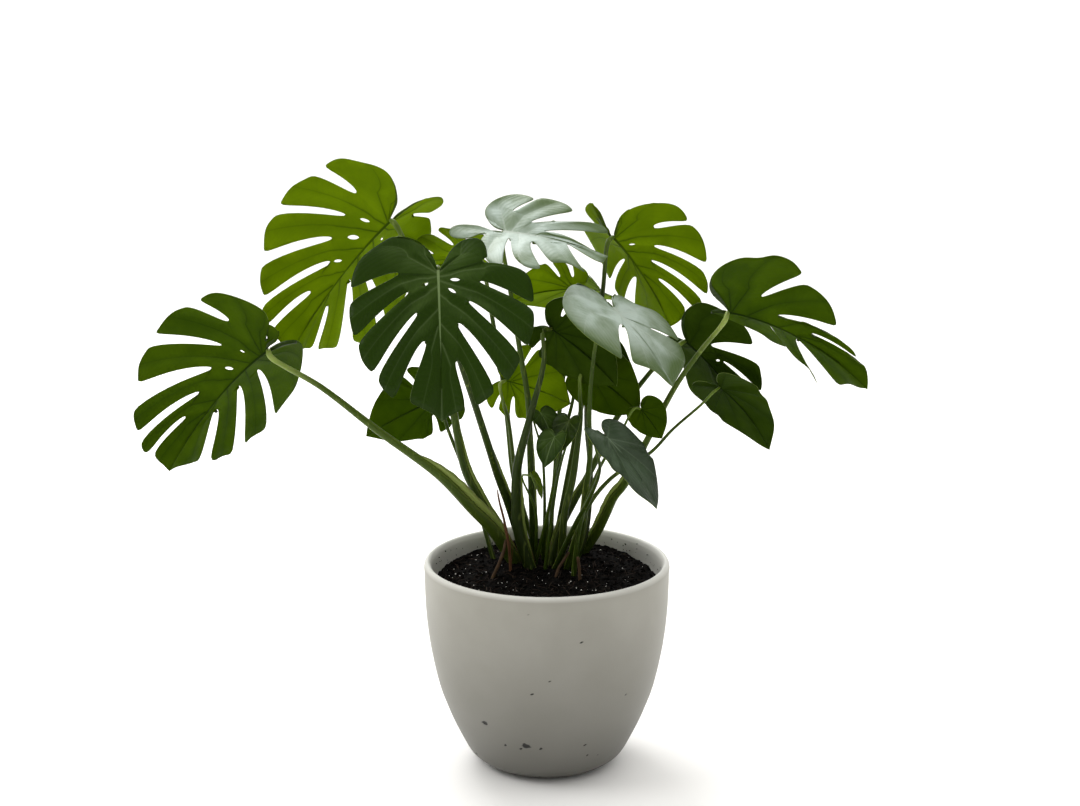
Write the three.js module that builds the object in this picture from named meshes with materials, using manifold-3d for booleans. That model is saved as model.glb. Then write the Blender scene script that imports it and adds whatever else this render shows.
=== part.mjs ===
// A potted split-leaf plant: an egg-shaped pot filled with soil, and a crown of arching leaf
// stalks that each carry one heart-shaped blade, cut to ribbons on the large leaves.
// Millimetres, +Z up, +X to the right and +Y to the back. The origin is the middle of the pot's
// foot, on the surface that the pot stands on.
import * as THREE from "three";
import { mergeVertices } from "three/addons/utils/BufferGeometryUtils.js";
import Module from "manifold-3d";

const wasm = await Module();
wasm.setup();

// ---------------------------------------------------------------- driving dimensions, mm
const POT_RIM_RADIUS = 170;
const POT_HEIGHT = 289.5;
const POT_WALL = 10.4;
const POT_FLOOR = 18;
const POT_FOOT_RADIUS = 71;
const POT_SIDES = 48;

const SOIL_EDGE_HEIGHT = 251;
const SOIL_MOUND = 7; // how much the soil stands higher in the middle
const SOIL_BANK = 18; // how much it is banked up at the back wall
const SOIL_ROUGHNESS = 1.6; // height of the crumbs and hollows
const SOIL_BOTTOM = POT_FLOOR + 0.3;
const ROOTED_DEPTH = 22; // how deep a leaf stalk stands in the soil

const FIT_GAP = 0.35; // clearance between two pieces that touch
const BLADE_THICKNESS = 0.8;
const RIB_HALF_WIDTH = 2.4; // half the midrib's width where it leaves the stalk
const NECK_LENGTH = 15; // the bend of the stalk under the blade

// ---------------------------------------------------------------- colours
const finish = (colour, roughness) =>
  new THREE.MeshStandardMaterial({ color: colour, roughness, metalness: 0 });
const MATERIALS = {
  pot: finish("#b9b6a9", 0.8),
  soil: finish("#1d1713", 1),
  bright: finish("#5f8a12", 0.5),
  mid: finish("#3c600c", 0.5),
  dark: finish("#213c12", 0.35),
  pale: finish("#a9b8ac", 0.3),
  stalk: finish("#55772c", 0.5),
  root: finish("#7a6a4c", 0.8),
  husk: finish("#6b4f35", 0.9),
};

// ---------------------------------------------------------------- leaves
// A blade is drawn flat, as seen on its upper face: x runs along the midrib from the stalk to
// the tip, and y is the distance from the midrib on its own side. margins holds the edge of each
// lobe from base to tip as x, y pairs. slits holds the inner end of the cut between two lobes as
// x, y and the half width of its round end. holes holds the number of the slit whose line a hole
// lies on, where it starts and ends on the way from the midrib to that slit, and its half width.
// The flat blade is then set at the joint with its heading, pitch and roll in degrees, arched
// along the midrib by bend, folded up along it by foldLeft and foldRight, and curled down to
// both sides by curl for each 100 mm.
const LARGE_LEAVES = [
  {
    name: "low_left", tone: "mid", joint: [-375, -10, 586], heading: 141, pitch: -32, roll: 30,
    length: 258, bend: 38, foldLeft: 25, foldRight: 25, curl: 8,
    left: {
      margins: [
        [-12, 10, -26, 8, -44, 14, -42, 30, -28, 29],
        [-27, 23, -50, 38, -56, 58, -36, 92, -20, 112, 4, 116],
        [22, 119, 56, 128, 92, 124], [112, 118, 140, 116, 168, 100], [200, 86, 216, 78, 229, 63],
        [239, 55, 247, 47, 251, 37], [247, 31, 253, 15],
      ],
      slits: [[-12, 13, 1.5], [5, 66, 4.5], [48, 46, 3.5], [89, 34, 4], [132, 25, 3.5], [176, 20, 3]],
      holes: [[2, 0.35, 0.5, 1.8], [3, 0.3, 0.58, 2.6]],
    },
    right: {
      margins: [
        [-10, 8, -22, 16, -24, 32, -6, 56, 22, 78, 54, 100, 92, 122, 118, 127, 150, 130],
        [167, 130, 184, 121, 204, 112], [219, 101, 227, 86, 236, 68], [239, 52, 244, 24],
      ],
      slits: [[61, 29, 3.5], [98, 22, 4], [148, 18, 5]],
      holes: [],
    },
  },
  {
    name: "high_left", tone: "bright", joint: [-212, 60, 752], heading: 152, pitch: -41, roll: 40,
    length: 245, bend: 32, foldLeft: 25, foldRight: 25, curl: 8,
    left: {
      margins: [
        [-20, 12, -36, 22, -51, 46, -49, 67, -35, 90, -20, 111, 4, 117], [21, 119, 49, 131, 82, 128],
        [92, 123, 118, 123, 146, 105], [161, 98, 181, 88, 197, 70], [207, 68, 219, 59, 226, 47],
        [231, 40, 238, 20],
      ],
      slits: [[4, 60, 4], [39, 50, 3.5], [77, 43, 4.5], [106, 24, 4.5], [156, 22, 4]],
      holes: [[1, 0.35, 0.62, 2.4], [2, 0.32, 0.62, 3.4], [3, 0.5, 0.85, 2]],
    },
    right: {
      margins: [
        [-22, 4, -48, 12, -66, 34, -48, 58, -24, 56], [-16, 64, 12, 92, 49, 106, 84, 126],
        [104, 134, 143, 148, 167, 150], [182, 145, 195, 130, 199, 103], [212, 83, 220, 66, 227, 44],
        [228, 36, 234, 16],
      ],
      slits: [[-14, 29, 2.5], [60, 44, 3.5], [98, 39, 4], [116, 22, 3.5], [162, 15, 3.5]],
      holes: [[1, 0.3, 0.45, 1.8]],
    },
  },
  {
    name: "front", tone: "dark", joint: [-140, -110, 711], heading: -84, pitch: -63, roll: 0,
    length: 196, bend: 18, foldLeft: 15, foldRight: 15, curl: 8,
    left: {
      margins: [
        [-10, 9, -26, 18, -37, 32, -39, 50, -30, 62, -11, 65], [-2, 70, 4, 100, 17, 117, 36, 121, 52, 121],
        [58, 120, 74, 121, 91, 117, 107, 111], [117, 104, 136, 93, 149, 83], [158, 70, 169, 57, 178, 43],
        [180, 31, 187, 12],
      ],
      slits: [[-6, 58, 1.5], [20, 54, 2.5], [45, 39, 3], [72, 24, 4], [119, 21, 4.5]],
      holes: [[1, 0.25, 0.5, 2], [2, 0.28, 0.55, 1.8]],
    },
    right: {
      margins: [
        [-10, 6, -26, 17, -39, 34, -42, 58, -32, 74, -14, 97, 6, 110, 30, 115],
        [45, 115, 62, 117, 80, 114, 90, 110],
        [96, 107, 116, 103, 135, 89], [139, 84, 155, 75, 167, 61], [169, 44, 178, 27, 187, 9],
      ],
      slits: [[8, 53, 3], [32, 41, 2.5], [58, 30, 3], [94, 21, 5]],
      holes: [[1, 0.3, 0.55, 2.2]],
    },
  },
  {
    name: "top", tone: "pale", joint: [-59, 20, 742], heading: -35, pitch: 1, roll: 30,
    length: 162, bend: 20, baseBend: -60, foldLeft: 15, foldRight: 10, curl: 8,
    left: {
      margins: [
        [-18, 7, -32, 16, -45, 30, -38, 52, -18, 67, 4, 67, 21, 61], [27, 62, 50, 64, 70, 60, 87, 50],
        [66, 29, 92, 35, 133, 42, 147, 32], [94, 10, 126, 4],
      ],
      slits: [[0, 35, 3.5], [37, 20, 2], [62, 9, 1]],
      holes: [],
    },
    right: {
      margins: [
        [-24, 4, -46, 4, -62, 9, -70, 24, -60, 39, -36, 29], [-18, 28, 2, 50, 18, 70, 38, 82, 58, 93],
        [52, 54, 76, 71, 89, 72, 101, 66], [107, 51, 123, 43, 140, 42, 156, 48], [161, 20, 162, 9],
      ],
      slits: [[-20, 9, 3], [23, 19, 2.5], [58, 18, 4], [103, 4, 1]],
      holes: [],
    },
  },
  {
    name: "silver", tone: "pale", joint: [87, -40, 650], heading: -33, pitch: -37, roll: 0,
    length: 134, bend: 18, foldLeft: 5, foldRight: 5, curl: 8,
    left: {
      margins: [[-10, 14, -18, 26, -12, 40, 10, 52, 26, 72, 50, 76, 81, 73], [84, 72, 104, 60, 118, 36]],
      slits: [[49, 31, 1]],
      holes: [],
    },
    right: {
      margins: [
        [-15, 4, -32, 5, -46, 10, -54, 26, -47, 54, -30, 88, -12, 105, 6, 112, 28, 111, 48, 103, 80, 76],
        [86, 58, 100, 36, 118, 12],
      ],
      slits: [[32, 20, 8]],
      holes: [],
    },
  },
  {
    name: "high_right", tone: "bright", joint: [90, 60, 729], heading: 36, pitch: -42, roll: -30,
    length: 159, bend: 35, baseBend: -122, foldLeft: 35, foldRight: 35, curl: 8,
    left: {
      margins: [
        [-50, 2, -59, 8, -53, 32, -25, 17, -15, 26, -12, 42, -2, 68, 30, 84, 62, 94, 88, 100],
        [95, 97, 112, 105, 128, 108],
        [136, 84, 150, 48],
      ],
      slits: [[51, 26, 2.5], [81, 28, 3]],
      holes: [],
    },
    right: {
      margins: [
        [-12, 19, -21, 32, -21, 48, -12, 63, 0, 71, 19, 91, 36, 96, 49, 93],
        [53, 94, 71, 97, 91, 92, 106, 83],
        [111, 75, 128, 73, 143, 64], [145, 57, 150, 50, 153, 42], [145, 31, 156, 20],
      ],
      slits: [[28, 51, 4], [50, 36, 3], [65, 21, 2.5], [92, 16, 2.2]],
      holes: [[1, 0.22, 0.42, 1.3]],
    },
  },
  {
    name: "far_right", tone: "mid", joint: [241, -20, 640], heading: 25, pitch: -13, roll: -40,
    length: 233, bend: 45, foldLeft: 25, foldRight: 15, curl: 8,
    left: {
      margins: [
        [-10, 10, -14, 22, 8, 32, 34, 40, 57, 44, 80, 50, 104, 65, 126, 58],
        [129, 62, 150, 69, 174, 79, 193, 92], [207, 53, 217, 26],
      ],
      slits: [[74, 14, 1.2], [116, 12, 4]],
      holes: [],
    },
    right: {
      margins: [
        [-21, 22, -47, 42, -59, 60, -59, 80, -49, 95, -34, 104, -12, 105, 5, 115, 30, 112, 46, 104, 59, 95],
        [70, 82, 90, 81, 113, 71, 132, 57, 143, 46], [110, 25, 148, 30, 179, 31, 194, 23],
        [200, 22, 214, 21],
      ],
      slits: [[32, 37, 3.5], [69, 17, 3], [124, 14, 2]],
      holes: [],
    },
  },
  {
    name: "back_right", tone: "dark", joint: [193, 90, 579], heading: 15, pitch: -40, roll: -40,
    length: 138, bend: 30, foldLeft: 15, foldRight: 15, curl: 8,
    left: {
      margins: [[-14, 14, -16, 30, 10, 38, 36, 50, 56, 66, 76, 80, 98, 74], [104, 68, 116, 57, 131, 32]],
      slits: [[81, 28, 1.5]],
      holes: [],
    },
    right: {
      margins: [
        [-14, 13, -34, 38, -35, 64, -20, 75, 2, 81, 25, 84, 44, 81, 62, 72], [87, 61, 103, 54, 122, 38],
        [126, 32, 135, 18],
      ],
      slits: [[29, 22, 3.5], [58, 19, 2]],
      holes: [[1, 0.6, 0.8, 1.6]],
    },
  },
];

// Young and half-hidden leaves. They have a plain heart outline with a given half width, cut by
// `cuts` slits a side. The slits get shallower towards the tip.
const SMALL_LEAVES = [
  {
    name: "low_right", tone: "dark", joint: [239, 50, 522], heading: 20, pitch: -39, roll: -30,
    length: 119, halfWidth: 54, bend: 30, fold: 2, cuts: 0,
  },
  {
    name: "low_front", tone: "dark", joint: [77, -110, 491], heading: -31, pitch: -38, roll: 0,
    length: 116, halfWidth: 52, bend: 22, fold: 8, cuts: 0,
  },
  {
    name: "low_back_right", tone: "mid", joint: [128, 4, 502], heading: -8, pitch: -50, roll: -76,
    length: 50, halfWidth: 30, bend: 20, fold: 10, cuts: 0,
  },
  {
    name: "behind_low_left", tone: "mid", joint: [-152, 130, 488], heading: 170, pitch: -24, roll: 76,
    length: 120, halfWidth: 58, bend: 30, fold: 18, cuts: 2,
  },
  {
    name: "behind_high_left", tone: "bright", joint: [-96, 125, 694], heading: 161, pitch: -11, roll: 34,
    length: 138, halfWidth: 70, bend: 30, fold: 15, cuts: 3,
  },
  {
    name: "behind_top", tone: "bright", joint: [42, 96, 652], heading: 163, pitch: -4, roll: 46,
    length: 104, halfWidth: 54, bend: 25, fold: 12, cuts: 2,
  },
  {
    name: "behind_high_right", tone: "bright", joint: [78, 142, 640], heading: 100, pitch: -2, roll: 40,
    length: 76, halfWidth: 36, bend: 28, fold: 12, cuts: 2,
  },
  {
    name: "middle_right", tone: "dark", joint: [52, 72, 577], heading: -12, pitch: -14, roll: -66,
    length: 76, halfWidth: 34, bend: 25, fold: 12, cuts: 0,
  },
  {
    name: "middle", tone: "mid", joint: [6, 25, 609], heading: -4, pitch: -34, roll: -66,
    length: 120, halfWidth: 60, bend: 26, fold: 10, cuts: 1,
  },
  {
    name: "middle_left", tone: "bright", joint: [-58, 84, 524], heading: 6, pitch: -15, roll: -70,
    length: 98, halfWidth: 62, bend: 25, fold: 10, cuts: 2,
  },
  {
    name: "middle_low_right", tone: "mid", joint: [56, 45, 544], heading: 0, pitch: -32, roll: -70,
    length: 92, halfWidth: 52, bend: 28, fold: 8, cuts: 0,
  },
  {
    name: "inner_left", tone: "dark", joint: [-9, 52, 485], heading: -51, pitch: -41, roll: 0,
    length: 42, halfWidth: 23, bend: 20, fold: 12, cuts: 0,
  },
  {
    name: "inner_right", tone: "mid", joint: [31, 32, 479], heading: -127, pitch: -58, roll: 0,
    length: 44, halfWidth: 23, bend: 20, fold: 12, cuts: 0,
  },
  {
    name: "inner_front", tone: "dark", joint: [11, 5, 463], heading: -124, pitch: -48, roll: 0,
    length: 46, halfWidth: 23, bend: 20, fold: 12, cuts: 0,
  },
  {
    name: "inner_low", tone: "bright", joint: [-19, 15, 404], heading: -27, pitch: -59, roll: 0,
    length: 34, halfWidth: 11, bend: 15, fold: 14, cuts: 0,
  },
];

// Each stalk stands in the soil at `foot` (x, y), runs through the `via` points and ends under
// its blade. radii are those at the soil, halfway and under the blade.
const STALKS = {
  low_left: {
    foot: [-44, 74], radii: [12.5, 6.5, 3.4],
    via: [
      [-68, 62, 304], [-84, 56, 326], [-103, 50, 347],
      [-148, 37, 399], [-229, 21, 465], [-308, 4, 533],
    ],
  },
  high_left: {
    foot: [-56, 94], radii: [8, 6, 3.4],
    via: [
      [-66, 87, 304], [-84, 85, 333], [-97, 82, 358], [-114, 79, 395],
      [-130, 75, 480], [-148, 70, 584], [-181, 64, 690],
    ],
  },
  front: {
    foot: [-28, 92], radii: [7, 5, 3.4],
    via: [
      [-42, 77, 308], [-53, 62, 348], [-68, 44, 396],
      [-79, 16, 442], [-97, -21, 513], [-121, -61, 603],
    ],
  },
  top: {
    foot: [-18, 84], radii: [5.5, 4.2, 2.8],
    via: [[-21, 72, 354], [-23, 64, 414], [-26, 53, 503], [-36, 44, 568], [-50, 31, 661]],
  },
  silver: {
    foot: [36, 58], radii: [6, 3.6, 2.4],
    via: [[52, 52, 329], [56, 40, 383], [60, 26, 438], [58, 12, 484], [60, -4, 544], [66, -22, 602]],
  },
  high_right: {
    foot: [40, 80], radii: [5, 4, 3],
    via: [[53, 84, 291], [62, 94, 392], [57, 100, 462], [60, 96, 550], [76, 76, 642]],
  },
  far_right: {
    foot: [51, 107], radii: [9, 5, 3],
    via: [
      [71, 93, 300], [84, 85, 329], [95, 78, 356], [109, 70, 377],
      [138, 49, 444], [176, 21, 530], [207, 2, 582],
    ],
  },
  back_right: {
    foot: [5, 64], radii: [7, 5, 3],
    via: [[19, 72, 311], [40, 75, 354], [69, 74, 411], [90, 78, 458], [146, 85, 537]],
  },
  low_right: {
    foot: [28, 44], radii: [4.5, 3, 1.8],
    via: [[54, 32, 349], [88, 36, 394], [145, 37, 433], [174, 40, 464], [215, 47, 499]],
  },
  low_front: {
    foot: [12, 42], radii: [4.5, 3.2, 1.8],
    via: [[40, 0, 340], [58, -45, 390], [70, -80, 440]],
  },
  low_back_right: {
    foot: [38, 20], radii: [4, 2.6, 1.5],
    via: [[47, 14, 338], [71, 14, 412], [102, 12, 468]],
  },
  behind_low_left: {
    foot: [-76, 86], radii: [4, 3.2, 2.2],
    via: [[-102, 106, 346], [-124, 116, 402], [-145, 124, 458]],
  },
  behind_high_left: {
    foot: [-38, 108], radii: [5, 4, 2.8],
    via: [[-41, 112, 344], [-49, 122, 388], [-55, 136, 446], [-63, 142, 515], [-77, 136, 603]],
  },
  behind_top: {
    foot: [-6, 96], radii: [4.5, 3.4, 2.4],
    via: [[9, 99, 346], [17, 101, 462], [31, 98, 577]],
  },
  behind_high_right: {
    foot: [10, 96], radii: [4.5, 3.4, 2.4],
    via: [[24, 106, 344], [46, 122, 459], [69, 138, 560]],
  },
  middle_right: {
    foot: [6, 84], radii: [4.5, 3.2, 2],
    via: [[8, 81, 346], [13, 79, 376], [20, 74, 428], [28, 71, 464], [37, 70, 503]],
  },
  middle: {
    foot: [-24, 50], radii: [9.5, 6, 2.6],
    via: [
      [-37, 50, 303], [-42, 49, 331], [-43, 46, 360],
      [-41, 38, 410], [-22, 24, 490], [-4, 14, 566],
    ],
  },
  middle_left: {
    foot: [-14, 108], radii: [4.5, 3.4, 2.2],
    via: [[-35, 98, 340], [-46, 92, 400], [-53, 88, 460]],
  },
  middle_low_right: {
    foot: [20, 56], radii: [6, 5, 2.4],
    via: [[26, 56, 342], [36, 56, 386], [42, 56, 430], [47, 53, 478]],
  },
  inner_left: {
    foot: [-5, 77], radii: [3, 2.2, 1.4],
    via: [[-3, 60, 359], [-7, 56, 430]],
  },
  inner_right: {
    foot: [-2, 44], radii: [3, 2.2, 1.4],
    via: [[6, 42, 330], [16, 34, 400], [26, 32, 440]],
  },
  inner_front: {
    foot: [-16, 61], radii: [3, 2.2, 1.4],
    via: [[5, 30, 365], [13, 16, 419]],
  },
  inner_low: {
    foot: [-17, 70], radii: [3, 2.2, 1.2],
    via: [[-16, 36, 349]],
  },
};

// Roots that leave the crown in the air and go down into the soil, and the dry husk of an old
// leaf stalk, which stands between the stalks.
const AIR_ROOTS = [
  {
    name: "air_root_left", radius: 2.6,
    points: [
      [-57, 46, 303], [-60, 34, 291], [-67, 24, 274], [-75, 18, 257], [-79, 15, 245], [-81, 14, 234],
    ],
  },
  {
    name: "air_root_middle", radius: 2.2,
    points: [[31, 30, 290], [24, 25, 280], [16, 19, 268], [12, 15, 255], [11, 14, 238]],
  },
  {
    name: "air_root_right", radius: 2.4,
    points: [[43, 8, 290], [45, 6, 275], [46, 4, 258], [46, 3, 238]],
  },
];
const HUSK_POINTS = [
  [-50, 38, 240], [-51, 36, 270], [-54, 36, 304], [-60, 37, 335], [-66, 38, 360], [-69, 40, 378],
];
const HUSK_RADIUS = 2.4;

// ---------------------------------------------------------------- solids
// A solid for booleans from a closed geometry, and the geometry back from it.
function solidFrom(geometry) {
  const bare = geometry.clone();
  bare.deleteAttribute("normal");
  bare.deleteAttribute("uv");
  const merged = mergeVertices(bare, 1e-4);
  const mesh = new wasm.Mesh({
    numProp: 3,
    vertProperties: new Float32Array(merged.attributes.position.array),
    triVerts: new Uint32Array(merged.index.array),
  });
  return new wasm.Manifold(mesh);
}

function geometryFrom(solid) {
  const mesh = solid.getMesh();
  const geometry = new THREE.BufferGeometry();
  geometry.setAttribute("position", new THREE.BufferAttribute(mesh.vertProperties, 3));
  geometry.setIndex(new THREE.BufferAttribute(mesh.triVerts, 1));
  geometry.computeVertexNormals();
  return geometry;
}

function geometryOf(points, triangles) {
  const geometry = new THREE.BufferGeometry();
  const numbers = points.flatMap((p) => [p.x, p.y, p.z]);
  geometry.setAttribute("position", new THREE.Float32BufferAttribute(numbers, 3));
  geometry.setIndex(triangles.flat());
  geometry.computeVertexNormals();
  return geometry;
}

// A closed tube along a smooth curve. radiusAt gives its radius at 0 to 1 of the curve's length.
function taperedTube(curve, radiusAt, steps, sides) {
  const frames = curve.computeFrenetFrames(steps, false);
  const points = [];
  const triangles = [];
  for (let i = 0; i <= steps; i += 1) {
    const centre = curve.getPointAt(i / steps);
    const radius = radiusAt(i / steps);
    for (let s = 0; s < sides; s += 1) {
      const angle = (2 * Math.PI * s) / sides;
      const across = frames.normals[i].clone().multiplyScalar(radius * Math.cos(angle));
      const along = frames.binormals[i].clone().multiplyScalar(radius * Math.sin(angle));
      points.push(centre.clone().add(across).add(along));
    }
  }
  for (let i = 0; i < steps; i += 1) {
    for (let s = 0; s < sides; s += 1) {
      const here = i * sides + s;
      const next = i * sides + ((s + 1) % sides);
      triangles.push([here, next, next + sides], [here, next + sides, here + sides]);
    }
  }
  const last = steps * sides;
  for (let s = 1; s < sides - 1; s += 1) {
    triangles.push([0, s + 1, s], [last, last + s, last + s + 1]);
  }
  return geometryOf(points, triangles);
}

// ---------------------------------------------------------------- pot and soil
// Outer radius of the pot from the foot up: a flat foot, a round heel and sides that open
// into an upright rim.
const POT_OUTER = [
  [POT_FOOT_RADIUS, 0], [88, 3], [101, 11], [110, 20], [121.5, 42], [132.5, 65], [141.5, 88],
  [149.6, 111], [157.9, 147], [164.1, 184], [167.5, 219], [169, 254], [169, 275],
];
const POT_LIP = [[POT_RIM_RADIUS, 281], [168.6, 287], [165, POT_HEIGHT], [161, 286.5]];

// Inner radius of the pot at a height above its floor.
function innerRadius(z) {
  const above = POT_OUTER.findIndex((p) => p[1] >= z);
  const [r0, z0] = POT_OUTER[above - 1];
  const [r1, z1] = POT_OUTER[above];
  return r0 + ((r1 - r0) * (z - z0)) / (z1 - z0) - POT_WALL;
}

const INNER_HEIGHTS = [251, 207, 159, 111, 65, 30];
const INNER_WALL = [[169 - POT_WALL, 272], ...INNER_HEIGHTS.map((z) => [innerRadius(z), z])];

// A closed body turned round the pot's axis from points of its half section as radius, height.
function turned(profile) {
  const section = profile.map(([r, z]) => new THREE.Vector2(r, z));
  const geometry = new THREE.LatheGeometry(section, POT_SIDES);
  geometry.rotateX(Math.PI / 2);
  return geometry;
}

function makePot() {
  const floor = [[98, POT_FLOOR + 4], [88, POT_FLOOR], [0, POT_FLOOR]];
  return turned([[0, 0], ...POT_OUTER, ...POT_LIP, ...INNER_WALL, ...floor]);
}

// Height of the soil at a place: a low mound, banked up at the back, with crumbs and hollows.
function soilHeight(x, y) {
  const far = Math.min(1, Math.hypot(x, y) / 150);
  const waveX = Math.sin(x / 7 + 1.3 * Math.sin(y / 11));
  const waveY = Math.cos(y / 8 + 0.7 * Math.sin(x / 13));
  const mound = SOIL_MOUND * (1 - far * far);
  const bank = SOIL_BANK * Math.max(0, y / 150) ** 1.3;
  return SOIL_EDGE_HEIGHT + mound + bank + SOIL_ROUGHNESS * waveX * waveY * (1 - far ** 6);
}

// Radius of the pot's inner wall at a height between two of its rings.
function wallRadius(z) {
  const below = INNER_WALL.findIndex((p) => p[1] <= z);
  const [r0, z0] = INNER_WALL[below];
  const [r1, z1] = INNER_WALL[below - 1];
  return r0 + ((r1 - r0) * (z - z0)) / (z1 - z0);
}

function makeSoil(holes) {
  const sides = INNER_HEIGHTS.map((z) => [innerRadius(z) - FIT_GAP, z]);
  const floor = [[0, SOIL_BOTTOM], [88 - FIT_GAP, SOIL_BOTTOM], [98 - FIT_GAP, SOIL_BOTTOM + 4]];
  const rings = [128, 96, 62, 30];
  const top = [...rings.map((r) => [r, SOIL_EDGE_HEIGHT + 1]), [0, SOIL_EDGE_HEIGHT + 1]];
  const body = turned([...floor, ...sides.reverse(), ...top]);
  const place = body.getAttribute("position");
  for (let i = 0; i < place.count; i += 1) {
    const x = place.getX(i);
    const y = place.getY(i);
    const radius = Math.hypot(x, y);
    if (place.getZ(i) > SOIL_EDGE_HEIGHT - 0.5) {
      const z = soilHeight(x, y);
      const stretch = radius > 135 ? (wallRadius(z + 0.01) - FIT_GAP) / radius : 1;
      place.setXYZ(i, x * stretch, y * stretch, z);
    }
  }
  return geometryFrom(holes.reduce((soil, hole) => soil.subtract(hole), solidFrom(body)));
}

// ---------------------------------------------------------------- blades
const radians = THREE.MathUtils.degToRad;

// Directions of a blade at its joint: along the midrib, to the left and out of the upper face.
function bladeFrame(leaf) {
  const heading = radians(leaf.heading);
  const pitch = radians(leaf.pitch);
  const roll = radians(leaf.roll);
  const along = new THREE.Vector3(
    Math.cos(pitch) * Math.cos(heading), Math.cos(pitch) * Math.sin(heading), Math.sin(pitch),
  );
  const level = new THREE.Vector3(-Math.sin(heading), Math.cos(heading), 0);
  const straight = along.clone().cross(level);
  const normal = straight.clone().multiplyScalar(Math.cos(roll));
  normal.addScaledVector(along.clone().cross(straight), Math.sin(roll));
  const left = normal.clone().cross(along);
  return { along, left, normal };
}

// Where a point of the flat blade lies in space. y is positive to the left of the midrib.
function onBlade(leaf, frame, x, y) {
  const bend = x < 0 && leaf.baseBend !== undefined ? leaf.baseBend : leaf.bend;
  const perLength = radians(bend) / leaf.length;
  const turn = perLength * x;
  const place = new THREE.Vector3(...leaf.joint);
  place.addScaledVector(frame.along, Math.sin(turn) / perLength);
  place.addScaledVector(frame.normal, -(1 - Math.cos(turn)) / perLength);
  const normal = frame.normal.clone().multiplyScalar(Math.cos(turn));
  normal.addScaledVector(frame.along, Math.sin(turn));
  const fold = radians(y > 0 ? leaf.foldLeft : leaf.foldRight);
  const tilt = fold - (radians(leaf.curl) / 100) * (Math.abs(y) / 2);
  place.addScaledVector(frame.left, y * Math.cos(tilt));
  place.addScaledVector(normal, Math.abs(y) * Math.sin(tilt));
  return place;
}

// The outward direction of the upper face at a point of the flat blade.
function bladeNormal(leaf, frame, x, y) {
  const side = y >= 0 ? 1 : -1;
  const here = onBlade(leaf, frame, x, y);
  const ahead = onBlade(leaf, frame, x + 0.5, y).sub(here);
  const outward = onBlade(leaf, frame, x, y + 0.5 * side).sub(here).multiplyScalar(side);
  return ahead.cross(outward).normalize();
}

// A flat mesh whose points are shared where they coincide.
class FlatMesh {
  constructor() {
    this.points = [];
    this.triangles = [];
    this.numbers = new Map();
  }

  number([x, y]) {
    const key = `${Math.round(x * 1000)},${Math.round(y * 1000)}`;
    if (!this.numbers.has(key)) {
      this.numbers.set(key, this.points.length);
      this.points.push([x, y]);
    }
    return this.numbers.get(key);
  }

  add(a, b, c) {
    const [i, j, k] = [this.number(a), this.number(b), this.number(c)];
    if (i !== j && j !== k && k !== i) {
      this.triangles.push([i, j, k]);
    }
  }
}

const mix = (a, b, t) => [a[0] + (b[0] - a[0]) * t, a[1] + (b[1] - a[1]) * t];
const pairs = (flat) => flat.reduce((all, v, i) => (i % 2 ? all : [...all, [v, flat[i + 1]]]), []);
const ribHalfWidth = (leaf, x) => RIB_HALF_WIDTH * leaf.ribScale * (1 - x / leaf.length);

// Shares of the way along the edge of a slit at which its points stand.
const SLIT_STEPS = [0.15, 0.5, 1];

function slitEdges(leaf, side, number) {
  const [rootX, rootY, halfWidth] = side.slits[number];
  const root = [rootX, rootY];
  const previous = number > 0 ? slitFoot(leaf, side, number - 1) : 0;
  const leastX = previous + 0.03 * leaf.length;
  const footX = Math.max(leastX, rootX - (0.5 + (1.2 * rootX) / leaf.length) * rootY);
  const foot = [footX, ribHalfWidth(leaf, footX)];
  const before = side.margins[number];
  const after = side.margins[number + 1];
  const lastCorner = before.slice(-2);
  const firstCorner = after.slice(0, 2);
  const mouth = mix(lastCorner, firstCorner, 0.5);
  const length = Math.hypot(mouth[0] - rootX, mouth[1] - rootY);
  const out = [(mouth[0] - rootX) / length, (mouth[1] - rootY) / length];
  const across = [out[1], -out[0]]; // towards the tip
  const edge = (corner, sign) => {
    const bow = 0.06 * length;
    const first = [
      root[0] + across[0] * sign * halfWidth * 1.5,
      root[1] + across[1] * sign * halfWidth * 1.5,
    ];
    const half = mix(root, corner, 0.5);
    const second = [
      half[0] + across[0] * (sign * halfWidth * 0.6 - bow),
      half[1] + across[1] * (sign * halfWidth * 0.6 - bow),
    ];
    const curve = new THREE.CubicBezierCurve(
      new THREE.Vector2(...root), new THREE.Vector2(...first),
      new THREE.Vector2(...second), new THREE.Vector2(...corner),
    );
    return [foot, root, ...SLIT_STEPS.map((t) => curve.getPoint(t).toArray())];
  };
  return { foot, root, nearBase: edge(lastCorner, -1), nearTip: edge(firstCorner, 1) };
}

function slitFoot(leaf, side, number) {
  return slitEdges(leaf, side, number).foot[0];
}

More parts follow.
